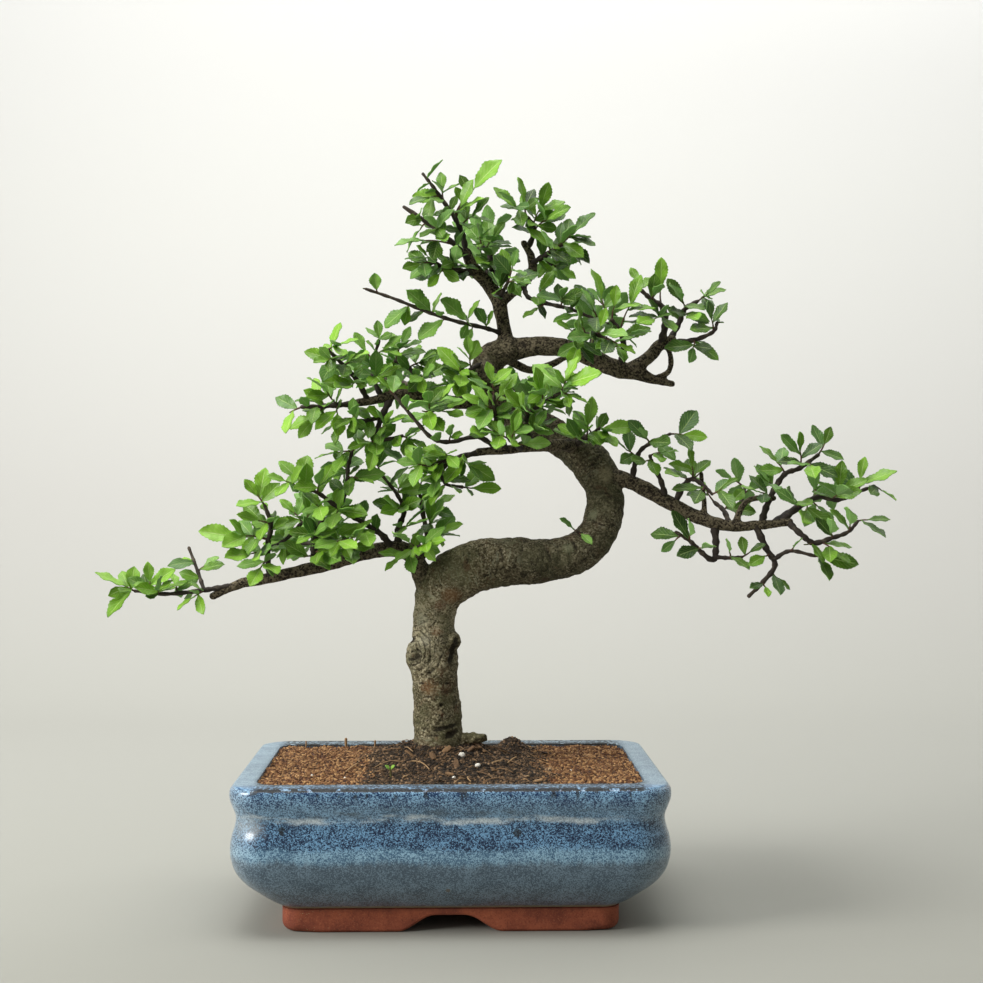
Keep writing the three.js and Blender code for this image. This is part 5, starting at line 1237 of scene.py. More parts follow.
def foot_shell():
    """Foot ring: its section runs from the recess under the edge and up the outside."""
    outline, outwards = rounded_outline(FOOT_HALF_LENGTH, FOOT_HALF_DEPTH, FOOT_CORNER, 150, 100, 16)
    rings = []
    for (x, y), out in zip(outline, outwards):
        raised = 0.0
        if abs(out[1]) == 1:
            raised = arch_height(FRONT_ARCH, x)
        elif abs(out[0]) == 1:
            raised = arch_height(END_ARCH, y)
        end_share = min(1, max(0, (abs(x) - FOOT_HALF_LENGTH + 2 * FOOT_CORNER) / FOOT_CORNER))
        rounding = min(FOOT_ROUNDING + FOOT_END_ROUNDING * end_share, (FOOT_TOP - raised) * 0.4)
        section = [(FOOT_WALL, FOOT_RECESS_TOP), (FOOT_WALL, raised + 1), (FOOT_WALL - 1, raised)]
        for step in range(6):
            angle = step / 5 * math.pi / 2
            inset = rounding * (1 - math.sin(angle))
            section.append((inset, raised + rounding * (1 - math.cos(angle))))
        section += [(0, (raised + rounding + FOOT_TOP) / 2), (0, FOOT_TOP), (FOOT_WALL / 2, FOOT_TOP + 0.6)]
        rings.append([(x - inset * out[0], y - inset * out[1], height) for inset, height in section])
    points = np.array(rings)
    faces = [face[::-1] for face in ring_faces(points.shape[0], points.shape[1], closed=True)]
    return points.reshape(-1, 3), faces


def join_shells(name, base, tools):
    """Boolean joins and cuts of closed shells, in millimetres. Each tool has its operation."""
    piece = mesh_piece(name, base[0], base[1], [])
    helpers = []
    for operation, shell in tools:
        helper = mesh_piece(name + "_tool", shell[0], shell[1], [])
        helpers.append(helper)
        joint = piece.modifiers.new("Joint", "BOOLEAN")
        joint.operation = operation
        joint.solver = "MANIFOLD"
        joint.object = helper
    mesh = evaluated_mesh(piece)
    remove_piece(piece)
    for helper in helpers:
        remove_piece(helper)
    return mesh


def peg(x, y, low, high, radius, sides=32):
    """Closed upright cylinder."""
    angle = 2 * math.pi * np.arange(sides) / sides
    ring = np.column_stack((x + radius * np.cos(angle), y + radius * np.sin(angle)))
    points = np.concatenate([np.column_stack((ring, np.full(sides, height))) for height in (low, high)])
    return points, capped_faces(2, sides)


def throw_pot(materials):
    """Bowl and foot ring joined, with the two drain holes cut through the floor."""
    holes = [peg(side * DRAIN_HOLE_X, 0, 5, 30, DRAIN_HOLE_RADIUS) for side in (-1, 1)]
    cuts = [("DIFFERENCE", hole) for hole in holes]
    mesh = join_shells("pot", bowl_shell(), [("UNION", foot_shell()), *cuts])
    points = to_frame(mesh_points(mesh))
    mesh.vertices.foreach_set("co", points.ravel())
    mesh.name = "glazed_pot"
    mesh.materials.clear()
    for material in materials:
        mesh.materials.append(material)
    mesh.polygons.foreach_set("use_smooth", [True] * len(mesh.polygons))
    bare = [int(face.center.z < GLAZE_EDGE * MM) for face in mesh.polygons]
    mesh.polygons.foreach_set("material_index", bare)
    mesh.set_sharp_from_angle(angle=POT_SHARP)
    pot = bpy.data.objects.new("glazed_pot", mesh)
    bpy.context.scene.collection.objects.link(pot)
    settle(pot, "pot", "pot")


def soil_height(x, y):
    mound, lump = SOIL_MOUND, SOIL_LUMP
    away = ((x - mound["x"]) / mound["half_length"]) ** 2 + ((y - mound["y"]) / mound["half_depth"]) ** 2
    bump = ((x - lump["x"]) ** 2 + (y - lump["y"]) ** 2) / lump["radius"] ** 2
    relief = 0.7 * np.sin(x / 7.3) * np.cos(y / 6.1) + 0.4 * np.sin(x / 3.1 + y / 4.7)
    return SOIL_WALL_LEVEL + mound["height"] * np.exp(-away) + lump["height"] * np.exp(-bump) + relief


def dark_share(x, y):
    """From 0 where clay granules cover the soil to 1 in the dark humus round the trunk."""
    points = np.column_stack((x, y, 0 * x))
    edge = np.abs(x - HUMUS["x"]) + 10 * noise_at(points, 17)
    edge += 9 * noise_at(points, 5) + 9 * noise_at(points, 1.7)
    return np.clip((HUMUS["half_length"] - edge) / HUMUS["fade"], 0, 1)


def soil_top(rings=46):
    """Rings of points over the soil from the wall inwards, closed in the middle."""
    _, half_length, half_depth, corner = POT_INSIDE[2]
    outline, _ = rounded_outline(half_length - SEAT_GAP - 1, half_depth - SEAT_GAP - 2, corner - 1, 60, 44, 8)
    x, y = np.concatenate([outline * share for share in np.linspace(1, 0.04, rings)]).T
    level = np.column_stack((x, y, 0 * x))
    fine = noise_at(level, 3.4) * 0.9 + noise_at(level, 1.5) * 0.5
    return np.column_stack((x, y, soil_height(x, y) + fine * 0.8)), len(outline), rings


def lay_soil(materials):
    """The body of the soil, down to the floor of the pot."""
    top, sides, rings = soil_top()
    walls = []
    for height, half_length, half_depth, corner in POT_INSIDE[:1:-1]:
        inset = SEAT_GAP + 0.1
        outline, _ = rounded_outline(half_length - inset, half_depth - inset, corner, 60, 44, 8)
        walls.append(np.column_stack((outline, np.full(sides, height + SEAT_GAP))))
    points = np.concatenate((*walls, top))
    skin = Skin("humus")
    skin.add(points, capped_faces(len(walls) + rings, sides), humus=dark_share(points[:, 0], points[:, 1]))
    settle(skin.piece("soil_bed", materials), "soil", "soil")


def add_node(tree, kind, settings, sockets):
    """A node of a kind with its settings made first, then the values or links of its sockets."""
    made = tree.nodes.new(kind)
    for key, value in settings.items():
        setattr(made, key, value)
    for key, value in sockets.items():
        value = getattr(value, "socket", value)
        if isinstance(value, bpy.types.NodeSocket):
            tree.links.new(value, made.inputs[key])
        else:
            made.inputs[key].default_value = value
    return made


def grain_tree(material):
    """Geometry nodes that strew angular grains over a surface, each with its own tone."""
    tree = bpy.data.node_groups.new("Grains over a surface", "GeometryNodeTree")
    tree.is_modifier = True
    for name, kind in (("Geometry", "Geometry"), ("Spacing", "Float"), ("Size", "Float"), ("Seed", "Int")):
        tree.interface.new_socket(name, in_out="INPUT", socket_type="NodeSocket" + kind)
    tree.interface.new_socket("Geometry", in_out="OUTPUT", socket_type="NodeSocketGeometry")

    def node(kind, sockets, **settings):
        return add_node(tree, kind, settings, sockets).outputs

    given = node("NodeGroupInput", {})
    strewn = node("GeometryNodeDistributePointsOnFaces", {
        "Mesh": given["Geometry"], "Distance Min": given["Spacing"], "Density Max": GRAIN_DENSITY,
        "Seed": given["Seed"],
    }, distribute_method="POISSON")
    stretch = node("FunctionNodeRandomValue", {
        "Min": (0.62, 0.5, 0.4), "Max": (1.35, 0.95, 0.8), "Seed": 3,
    }, data_type="FLOAT_VECTOR")
    turn = node("FunctionNodeRandomValue", {
        "Max": (0.7, 0.7, 2 * math.pi), "Seed": 5,
    }, data_type="FLOAT_VECTOR")
    tone = node("FunctionNodeRandomValue", {"Seed": 8}, data_type="FLOAT")
    stone = node("GeometryNodeMeshIcoSphere", {"Radius": given["Size"], "Subdivisions": 1})
    placed = node("GeometryNodeInstanceOnPoints", {
        "Points": strewn["Points"], "Instance": stone["Mesh"],
        "Rotation": turn["Value"], "Scale": stretch["Value"],
    })
    toned = node("GeometryNodeStoreNamedAttribute", {
        "Geometry": placed["Instances"], "Name": "tone", "Value": tone[1],
    }, data_type="FLOAT", domain="INSTANCE")
    whole = node("GeometryNodeRealizeInstances", {"Geometry": toned["Geometry"]})
    rough = node("ShaderNodeTexNoise", {"Scale": CHIP_NOISE_SCALE, "Detail": 0})
    centred = node("ShaderNodeVectorMath", {0: rough["Color"], 1: (0.5, 0.5, 0.5)}, operation="SUBTRACT")
    pushed = node("ShaderNodeVectorMath", {0: centred["Vector"], "Scale": given["Size"]}, operation="SCALE")
    chipped = node("GeometryNodeSetPosition", {"Geometry": whole["Geometry"], "Offset": pushed["Vector"]})
    painted = node("GeometryNodeSetMaterial", {"Geometry": chipped["Geometry"], "Material": material})
    node("NodeGroupOutput", {"Geometry": painted["Geometry"]})
    return tree


def strew_grains(name, size, spacing, seed, dark, material):
    """Grains over the dark or the light part of the soil, as one plain mesh."""
    top, sides, rings = soil_top()
    faces = np.array(ring_faces(rings, sides))
    middle = top[faces].mean(axis=1)
    chosen = (dark_share(middle[:, 0], middle[:, 1]) > 0.5) == dark
    patch = mesh_piece(name, to_frame(top), faces[chosen].tolist(), [])
    tree = grain_tree(material)
    strew = patch.modifiers.new("Grains", "NODES")
    strew.node_group = tree
    values = {"Spacing": spacing * MM, "Size": size * MM, "Seed": seed}
    for item in tree.interface.items_tree:
        if item.in_out == "INPUT" and item.name in values:
            strew[item.identifier] = values[item.name]
    mesh = evaluated_mesh(patch)
    patch.modifiers.remove(strew)
    bare = patch.data
    patch.data = mesh
    bpy.data.meshes.remove(bare)
    bpy.data.node_groups.remove(tree)
    settle(patch, "soil")
    return patch


def chip_shell(draw, x, y, length, width, lean=0.0):
    """A curled flake of old bark that lies on the soil, or leans out of it."""
    heading = 2 * math.pi * draw()
    tip = lean + 0.5 * (draw() - 0.5)
    along = unit(np.array((math.cos(heading), math.sin(heading), math.sin(tip))))
    normal = square_to(np.array((0.5 * (draw() - 0.5), 0.5 * (draw() - 0.5), 1.0)), along)
    side = np.cross(normal, along)
    curl = (draw() - 0.25) * 0.9
    rows = []
    for station in range(6):
        share = station / 5 - 0.5
        taper = 1 - 1.6 * share * share
        for column in range(4):
            reach = column / 3 - 0.5
            jag = 0.3 * width * (draw() - 0.5)
            bow = -curl * width * (2 * reach) ** 2 * 0.5 - 0.12 * length * (2 * share) ** 2 * curl
            rows.append(along * length * share + side * (width * reach * taper + 0.3 * jag) + normal * bow)
    middle = np.array(rows) + (x, y, soil_height(x, y) + 0.25 * width + 0.5)
    return plate_shell(middle, 6, normal * 0.35)


def scatter_litter(materials):
    """Flakes of bark, straws and root fibres on the soil."""
    skin = Skin("tone")
    draw = Draws(LITTER_SEED)
    placed = 0
    while placed < CHIP_COUNT:
        x = HUMUS["x"] + 1.25 * HUMUS["half_length"] * 2 * (draw() - 0.5)
        y = 128 * (draw() - 0.5)
        trunk_away = math.hypot(x - TRUNK_FOOT[0], y - TRUNK_FOOT[1])
        if trunk_away < 17 or float(dark_share(np.array([x]), np.array([y]))[0]) < 0.3:
            continue
        length = 1.6 + 4.2 * draw() ** 3
        skin.add(*chip_shell(draw, x, y, length, length * (0.3 + 0.3 * draw())), 0, tone=draw())
        placed += 1
    for across, down, depth, length, width in BARK_CURLS:
        x, y, _ = place(across, down, depth)
        skin.add(*chip_shell(draw, x, y, length, width, 0.8), 0, tone=0.4 + 0.35 * draw())
    for _ in range(FIBRE_COUNT):
        x = HUMUS["x"] + 1.5 * HUMUS["half_length"] * (draw() - 0.5)
        y = 120 * (draw() - 0.5)
        heading, length = 2 * math.pi * draw(), 4 + 12 * draw()
        bend = 3 * (draw() - 0.5)
        share = np.linspace(-0.5, 0.5, 9)
        fx = x + math.cos(heading) * length * share - math.sin(heading) * bend * (share * share * 4)
        fy = y + math.sin(heading) * length * share + math.cos(heading) * bend * (share * share * 4)
        fy = np.clip(fy, -68, 68)
        fz = soil_height(fx, fy) + 1.1 + 0.9 * np.cos(share * 3)
        radii = np.full(9, 0.16 + 0.16 * draw())
        skin.add(*sweep(np.column_stack((fx, fy, fz)), radii, 6)[:2], 0, tone=draw())
    for across, down, depth, length, heading in LYING_STRAWS:
        x, y, _ = place(across, down, depth)
        share = np.linspace(-0.5, 0.5, 7)
        fx = x + math.cos(heading) * length * share
        fy = np.minimum(y + math.sin(heading) * length * share, 69.5)
        fz = soil_height(fx, fy) + 1.6 + 1.4 * share
        skin.add(*sweep(np.column_stack((fx, fy, fz)), np.full(7, 0.4), 8)[:2], 0, tone=0.95)
    for across, down, depth, lean, radius in STANDING_STRAWS:
        tip = place(across, down, depth)
        foot = np.array((tip[0] - lean, depth, soil_height(tip[0] - lean, depth) - 2))
        share = np.linspace(0, 1, 5)[:, None]
        bend = np.array((0.5 * lean, 0, 0)) * np.sin(math.pi * share)
        skin.add(*sweep(foot + (tip - foot) * share + bend, np.full(5, radius), 8)[:2], 0, tone=0.8)
    settle(skin.piece("soil_litter", materials, sharp_angle=math.radians(45)), "soil")


def crumb_shell(x, y, half_sizes):
    """A puffed, pitted crumb of perlite."""
    points, faces = globe(np.zeros(3), np.array(half_sizes), 12, 16)
    swell = 1 + 0.28 * noise_at(points, 1.6, x) + 0.12 * noise_at(points, 0.6, y)
    return points * swell[:, None] + (x, y, soil_height(x, y) + half_sizes[2] * 0.5), faces


def strew_perlite(material):
    for name, (x, y, half_sizes) in PERLITE.items():
        skin = Skin()
        skin.add(*crumb_shell(x, y, half_sizes))
        settle(skin.piece(name + "_crumb", [material]), "perlite", name)
    skin = Skin()
    for across, down, depth, half in PERLITE_SPECKS:
        x, y, _ = place(across, down, depth)
        skin.add(*crumb_shell(x, y, (half, half * 0.9, half * 0.8)))
    settle(skin.piece("perlite_specks", [material]), "perlite")


def grow_seedling(materials):
    """A stalk that stands in the soil, with its two seed leaves."""
    x, y, _ = place(SEEDLING["across"], SEEDLING["down"], SEEDLING["depth"])
    ground = float(soil_height(x, y))
    share = np.linspace(0, 1, 9)
    height = ground - 4 + (SEEDLING["height"] + 4) * share
    stalk = np.column_stack((x + 0.4 * np.sin(3 * share), y + 0 * share, height))
    skin = Skin("tone", "under", "young", "seed")
    skin.add(*sweep(stalk, SEEDLING["stem_radius"] * (1.1 - 0.35 * share), 10)[:2], 1, young=1.0)
    for hand in (-1, 1):
        axis = unit(np.array((hand, -0.3, 1.1)))
        normal = square_to(np.array((0, -0.5, 1.0)), axis)
        leaf = leaf_shape(stalk[-1] - (0, 0, 0.8), axis, normal, SEEDLING["leaf_length"], 2.6, 0.1, 0.05)
        points, faces, places, under = blade_shell(leaf, 0.2, 1.3)
        skin.add(points, faces, 0, places, tone=1.0, under=under, seed=0.5)
    settle(skin.piece("seedling_leaves", materials, "blade", LEAF_SHARP), "leaf", "seedling")


def paint(code):
    """Linear colour from a screen colour code."""
    channels = [int(code[start:start + 2], 16) / 255 for start in (0, 2, 4)]
    return (*(c / 12.92 if c <= 0.04045 else ((c + 0.055) / 1.055) ** 2.4 for c in channels), 1.0)


class Value:
    """A number that varies over a surface. Sums and products of it add Math nodes."""

    def __init__(self, finish, socket):
        self.finish = finish
        self.socket = socket

    def __add__(self, other):
        return self.finish.math("ADD", self, other)

    def __sub__(self, other):
        return self.finish.math("SUBTRACT", self, other)

    def __rsub__(self, other):
        return self.finish.math("SUBTRACT", other, self)

    def __mul__(self, other):
        return self.finish.math("MULTIPLY", self, other)

    def __pow__(self, other):
        return self.finish.math("POWER", self, other)

    __radd__ = __add__
    __rmul__ = __mul__

    def size(self):
        return self.finish.math("ABSOLUTE", self)

    def between(self, low, high):
        """Smooth step: 0 where the number is low and 1 where it is high."""
        sockets = {0: self, 1: low, 2: high, 3: 0.0, 4: 1.0}
        made = self.finish.node("ShaderNodeMapRange", sockets, interpolation_type="SMOOTHSTEP")
        return Value(self.finish, made.outputs[0])


class Finish:
    """One material, whose patterns are laid over its colour in turn. Places are in millimetres."""

    def __init__(self, name, sockets):
        self.material = bpy.data.materials.new(name)
        self.material.use_nodes = True
        self.tree = self.material.node_tree
        self.shader = self.tree.nodes["Principled BSDF"]
        self.colour = None
        for socket, value in sockets.items():
            self.shader.inputs[socket].default_value = value
        place_m = self.node("ShaderNodeTexCoord", {}).outputs["Object"]
        self.place = self.vectors("MULTIPLY", place_m, (1000, 1000, 1000))

    def node(self, kind, sockets, **settings):
        """A node of a kind. A text among the values of its sockets is a colour code."""
        sockets = {key: paint(value) if isinstance(value, str) else value for key, value in sockets.items()}
        return add_node(self.tree, kind, settings, sockets)

    def math(self, operation, first, second=0.0):
        return Value(self, self.node("ShaderNodeMath", {0: first, 1: second}, operation=operation).outputs[0])

    def vectors(self, operation, first, second):
        return self.node("ShaderNodeVectorMath", {0: first, 1: second}, operation=operation).outputs["Vector"]

    def axes(self, vector):
        return [Value(self, part) for part in self.node("ShaderNodeSeparateXYZ", {0: vector}).outputs]

    def mark(self, name):
        """A number that is kept on the piece's points."""
        return Value(self, self.node("ShaderNodeAttribute", {}, attribute_name=name).outputs["Fac"])

    def texture(self, kind, blob, squeeze, vector, **sockets):
        """A pattern with blobs of about a size in millimetres, drawn out along an axis that is squeezed."""
        vector = self.place if vector is None else vector
        if squeeze:
            vector = self.vectors("MULTIPLY", vector, squeeze)
        return self.node(kind, {"Vector": vector, "Scale": 1 / blob, **sockets}).outputs

    def noise(self, blob, detail=2.0, roughness=0.5, squeeze=None, vector=None):
        """Cloudy noise from 0 to 1."""
        sockets = {"Detail": detail, "Roughness": roughness}
        return Value(self, self.texture("ShaderNodeTexNoise", blob, squeeze, vector, **sockets)[0])

    def cells(self, size, squeeze=None, vector=None):
        """Distance from the middle of the nearest cell, in cell sizes."""
        return Value(self, self.texture("ShaderNodeTexVoronoi", size, squeeze, vector)["Distance"])

    def speck(self, size):
        """A number from 0 to 1 that is the same all over a cell of about a size in millimetres."""
        colour = self.texture("ShaderNodeTexVoronoi", size, None, None)["Color"]
        return Value(self, self.node("ShaderNodeSeparateColor", {0: colour}).outputs[0])

    def away(self, spot):
        """Distance in millimetres from a point."""
        made = self.node("ShaderNodeVectorMath", {0: self.place, 1: spot}, operation="DISTANCE")
        return Value(self, made.outputs["Value"])

    def seen(self, spot):
        """Distance in millimetres from a spot that the front view shows."""
        return self.away(tuple(place(*spot) + (POT_MIDDLE_X, POT_MIDDLE_Y, 0)))

    def mix(self, share, first, second):
        """Colour between two, by a share."""
        return self.node("ShaderNodeMix", {0: share, 6: first, 7: second}, data_type="RGBA").outputs[2]

    def tint(self, share, shade):
        """Lays a colour over the finish, by a share."""
        self.colour = self.mix(share, self.colour, shade)

    def ramp(self, value, stops):
        """Colours the finish along a row of stops, each a position and a colour."""
        made = self.node("ShaderNodeValToRGB", {0: value})
        elements = made.color_ramp.elements
        for position, _ in stops[2:]:
            elements.new(position)
        for element, (position, colour) in zip(elements, stops):
            element.position = position
            element.color = paint(colour) if isinstance(colour, str) else colour
        self.colour = made.outputs["Color"]

    def wear(self, roughness=None, height=None, depth_mm=0.1, strength=1.0):
        """Links what varies to the shader: its colour, its roughness and its relief."""
        links, inputs = self.tree.links, self.shader.inputs
        links.new(self.colour, inputs["Base Color"])
        if roughness is not None:
            links.new(roughness.socket, inputs["Roughness"])
            sockets = {"Height": height, "Distance": depth_mm * MM, "Strength": strength}
            links.new(self.node("ShaderNodeBump", sockets).outputs["Normal"], inputs["Normal"])
        return self.material


def leaf_finish(settings):
    finish = Finish("elm leaf", {
        "Subsurface Weight": 0.12, "Subsurface Scale": 0.0012, "Subsurface Radius": (0.6, 1.0, 0.25),
        "Specular IOR Level": 0.33,
    })
    across, along, _ = finish.axes(finish.node("ShaderNodeUVMap", {}, uv_map="blade").outputs["UV"])
    outward = (across * 2 - 1).size()
    tone, under, seed = finish.mark("tone"), finish.mark("under"), finish.mark("seed")
    cloud = finish.noise(7)
    mottle = finish.noise(1.1, 3)
    midrib = outward.between(0.075, 0.015) * along.between(1.0, 0.8)
    wave = finish.math("COSINE", (along * VEIN_PAIRS - outward * VEIN_SLANT) * (2 * math.pi))
    ribs = wave.between(-0.72, -1.0) * outward.between(1.0, 0.7) * along.between(0.02, 0.1)
    finish.ramp(tone + (cloud - 0.5) * 0.6 + (mottle - 0.5) * 0.2, [
        (0.0, "28420f"), (0.3, settings.leaf_dark), (0.6, settings.leaf_middle), (1.0, settings.leaf_bright),
    ])
    finish.tint(seed.between(0.5, 0.95) * 0.5, "5c8646")
    finish.tint(seed.between(0.3, 0.05) * 0.45, "74a428")
    finish.tint(ribs * 0.24, "a9c86c")
    finish.tint(midrib * 0.5, "bcd384")
    finish.tint(under, finish.mix(ribs * 0.3 + midrib * 0.5, settings.leaf_under, "b0c98c"))
    rough = 0.4 + under * 0.2 + (mottle - 0.5) * 0.3 + (cloud - 0.5) * 0.2
    return finish.wear(rough, 0 - ribs * 0.4 - midrib * 0.8 + mottle * 0.4, 0.16, 0.7)


def twig_finish(settings):
    finish = Finish("elm twig", {"Roughness": 0.75})
    young, seed = finish.mark("young"), finish.mark("seed")
    patches = finish.noise(3.5, 3)
    fine = finish.noise(0.5)
    finish.ramp(young + (seed - 0.5) * 0.2 + (patches - 0.5) * 0.3, [
        (0.0, "2e241b"), (0.35, settings.twig_colour), (0.7, "633b2b"), (1.0, "6f7a38"),
    ])
    finish.tint(patches.between(0.54, 0.7) * 0.4, "7d725e")
    finish.tint(fine.between(0.6, 0.46) * 0.45, "1c150f")
    return finish.wear(0.62 + fine * 0.3, fine + patches, 0.25, 0.8)


def bark_finish(settings):
    """Mottled grey and olive bark, darker on the thin branches, with rusty stains, painted shade in its
    cracks, creases and at two branch joints, and painted shade over the part right of the trunk's foot.
    """
    finish = Finish("elm bark", {"Roughness": 0.85, "Specular IOR Level": 0.22})
    right_mm, _, height_mm = finish.axes(finish.place)
    stout = finish.mark("girth").between(3.0, 10.5)
    grain = finish.node("ShaderNodeAttribute", {}, attribute_name="grain").outputs["Vector"]
    wander = finish.node("ShaderNodeCombineXYZ", {0: (finish.noise(9) - 0.5) * 9}).outputs[0]
    warped = finish.vectors("ADD", grain, wander)
    plates = finish.noise(1, 4, 0.65, (1 / 4, 1 / 8, 1 / 8), warped)
    mottle = finish.noise(1.3, 3, 0.65)
    grit = finish.speck(0.9)
    tone = plates * 0.34 + mottle * 0.4 + grit * 0.26 + finish.seen(PALE_KNEE).between(38, 8) * 0.12
    finish.ramp(tone, [
        (0.33, "2b2619"), (0.45, settings.bark_dark), (0.57, settings.bark_light), (0.69, "b5ab8e"),
    ])
    ribs = finish.noise(1, 2, 0.6, (1 / 1.1, 1 / 12, 1 / 12), warped)
    ribs = ribs.between(0.55, 0.64) * finish.noise(14).between(0.46, 0.58) * stout
    finish.tint(ribs * 0.5, "a3a388")
    finish.tint(finish.noise(17, 3).between(0.42, 0.64) * 0.5, finish.mix(mottle, "3f4129", "757553"))
    rusty = finish.noise(8, 4, 0.65, None, finish.vectors("ADD", finish.place, (40, 7, 3)))
    finish.tint(rusty.between(0.56, 0.7) * 0.5, "5c3b28")
    # Painted shade: the bark right of the trunk's foot, which the crown shades, is darkened.
    finish.tint(right_mm.between(-16, 12) * 0.43, "26241a")
    # Stains on the bark; the two near-black ones are painted shade at branch joints.
    for *spot, radius, shade in BARK_STAINS:
        stain = finish.seen(spot) + (mottle - 0.5) * 9
        finish.tint(stain.between(radius, 0.3 * radius) * 0.5, shade)
    thin = finish.mix(tone.between(0.38, 0.62), "231c14", "6f6551")
    finish.tint(1 - stout * (1 - height_mm.between(258, 300) * 0.55), thin)
    crossing = finish.noise(1, 2.5, 0.55, (1 / 2.2, 1 / 9, 1 / 9), warped)
    fissure = (crossing - 0.5).size().between(0.022, 0.004) * finish.noise(12).between(0.46, 0.6) * stout
    finish.tint(fissure * 0.65, "241c12")
    # Painted shade in the cracks, creases and scar eyes of the bark.
    finish.tint(finish.mark("hollow").between(0.12, 0.7) * 0.85, "1c160e")
    pores = finish.cells(1, (1 / 1.4, 1 / 2.4, 1 / 2.4), warped).between(0.2, 0.08)
    pores = pores * finish.noise(6, 1).between(0.5, 0.62)
    finish.tint(pores * 0.6, "1f1810")
    finish.tint(height_mm.between(99, 86) * 0.45, "4a3424")
    knot = finish.seen(LEFT_KNOT)
    rings = finish.math("SINE", knot * 2.3 + (plates - 0.5) * 9).between(0.45, 0.95)
    rings = rings * knot.between(18, 12) * knot.between(3, 5)
    finish.tint(rings * 0.55, "2a2318")
    relief = plates * 0.8 + mottle * 0.9 + grit * 0.3 - fissure * 0.9 - pores * 0.5 - rings * 0.8
    return finish.wear(0.72 + mottle * 0.25, relief, 0.8, 0.9)


def glaze_finish(settings):
    """Blue glaze: two speckled dark bands, a streaked waist and a greyer belly, by height on the wall."""
    finish = Finish("blue glaze", {"Coat Weight": 0.5, "Coat Roughness": 0.16})
    finish.place = finish.vectors("SUBTRACT", finish.place, (POT_MIDDLE_X, POT_MIDDLE_Y, 0))
    x, y, z = finish.axes(finish.place)
    wobble = finish.noise(24, 3, 0.6, (1, 1, 0.3)) - 0.5
    runs = finish.noise(1.9, 3, 0.65, (1, 1, 0.14))
    drift = runs - 0.5
    level = z + wobble * 8 + drift * 6
    dots = finish.speck(0.5) * 0.5 + finish.noise(0.68, 3, 0.75) * 0.5
    clouds = finish.noise(11, 4, 0.6, (1, 1, 1.3))
    share = (dots + (clouds.between(0.36, 0.64) - 0.5) * 0.16).between(0.33, 0.72)
    finish.colour = finish.mix(share, "3c4a56", "7a8d9e")
    for low, high, speckle, ground, speck in (
        (19, 31, share, settings.glaze_belly_dark, settings.glaze_belly_pale),
        (38.5, 43.5, share, "3b5f7b", "8bb0c6"),
        (46, 50, share ** 1.6, "081f3c", "6c98ba"),
        (60.5, 64, share, "38546d", "80a6c4"),
    ):
        finish.tint(level.between(low, high), finish.mix(speckle, ground, speck))
    smudge = finish.noise(8, 3, 0.6, (0.3, 0.3, 1)).between(0.5, 0.66) * (level - 67).size().between(3.5, 1.5)
    finish.tint(smudge * 0.6, "3f4a50")
    streak = (z + wobble * 11 - 63.4).size().between(2.6, 0.3)
    streak = streak * finish.noise(9, 3, 0.7, (0.3, 0.3, 1)).between(0.42, 0.6)
    finish.tint(streak * (0.5 + share * 0.5), "bcc7cb")
    blue = finish.mix(share ** 1.25, settings.glaze_dark, settings.glaze_speck)
    finish.tint((z + drift * 6).between(69.2, 71.2), blue)
    bare = finish.noise(4.5, 3, 0.65, (1, 1, 0.45)).between(0.56, 0.64) * z.between(72.5, 77)
    finish.tint(bare * 0.85, "171b20")
    finish.tint(x.size().between(98, 117) * 0.45, finish.mix(share, "566a78", "a3b4bf"))
    side_rim = finish.mix(share, "5b7486", "90a8b6")
    front_rim = finish.mix(share, "31587c", "86acca")
    rim_top = z.between(78.9, 79.5)
    finish.tint(rim_top, finish.mix(y.between(-70, -76), side_rim, front_rim))
    burnt = (z + drift * 1.4 - 79.25).size().between(0.95, 0.6)
    burnt = burnt * finish.noise(7, 3, 0.7, (1, 1, 0.2)).between(0.36, 0.43) * x.size().between(108, 100)
    finish.tint(burnt * 0.95, finish.mix(dots, "121314", "45423d"))
    # Spots and clouds in the glaze; the large pale one at the left corner is a painted reflection.
    for *spot, radius, hardness, shade in GLAZE_SPOTS_AND_REFLECTION:
        away = finish.away(spot) + (dots - 0.5) * 1.2 + (clouds - 0.5) * (1 - hardness) ** 3 * 34
        finish.tint(away.between(radius, hardness * radius) * (0.3 + 0.7 * hardness), shade)
    finish.tint((z + drift * 1.6).between(15.0, 14.0) * 0.85, "8b8263")
    rough = 0.3 + (dots - 0.5) * 0.16 + burnt * 0.5 + rim_top * 0.18 + z.between(45, 30) * 0.1
    gloss = (0.5 - rim_top * 0.3) * (1 - burnt)
    finish.tree.links.new(gloss.socket, finish.shader.inputs["Coat Weight"])
    return finish.wear(rough, dots * 0.5 + runs, 0.13, 0.4)


def clay_finish(settings):
    """Bare red clay of the foot, with pale grog and a few pits."""
    finish = Finish("red clay", {"Roughness": 0.88})
    finish.place = finish.vectors("SUBTRACT", finish.place, (POT_MIDDLE_X, POT_MIDDLE_Y, 0))
    x, _, z = finish.axes(finish.place)
    sand = finish.noise(0.8, 3, 0.7)
    clouds = finish.noise(12, 4, 0.6).between(0.3, 0.7)
    finish.colour = finish.mix(clouds, settings.clay_dark, settings.clay_light)
    finish.tint(sand.between(0.45, 0.33) * 0.6, "552719")
    finish.tint(sand.between(0.55, 0.7) * 0.55, "bf7450")
    grog = finish.cells(1.5).between(0.2, 0.08)
    dusty = finish.noise(7).between(0.5, 0.66) * x.between(-40, -75)
    finish.tint(grog * (0.12 + dusty * 0.8), "c3a67c")
    finish.tint(z.between(10.5, 13) * 0.35, "4a2419")
    return finish.wear(0.78 + sand * 0.2, sand - grog * 0.3, 0.35, 0.8)


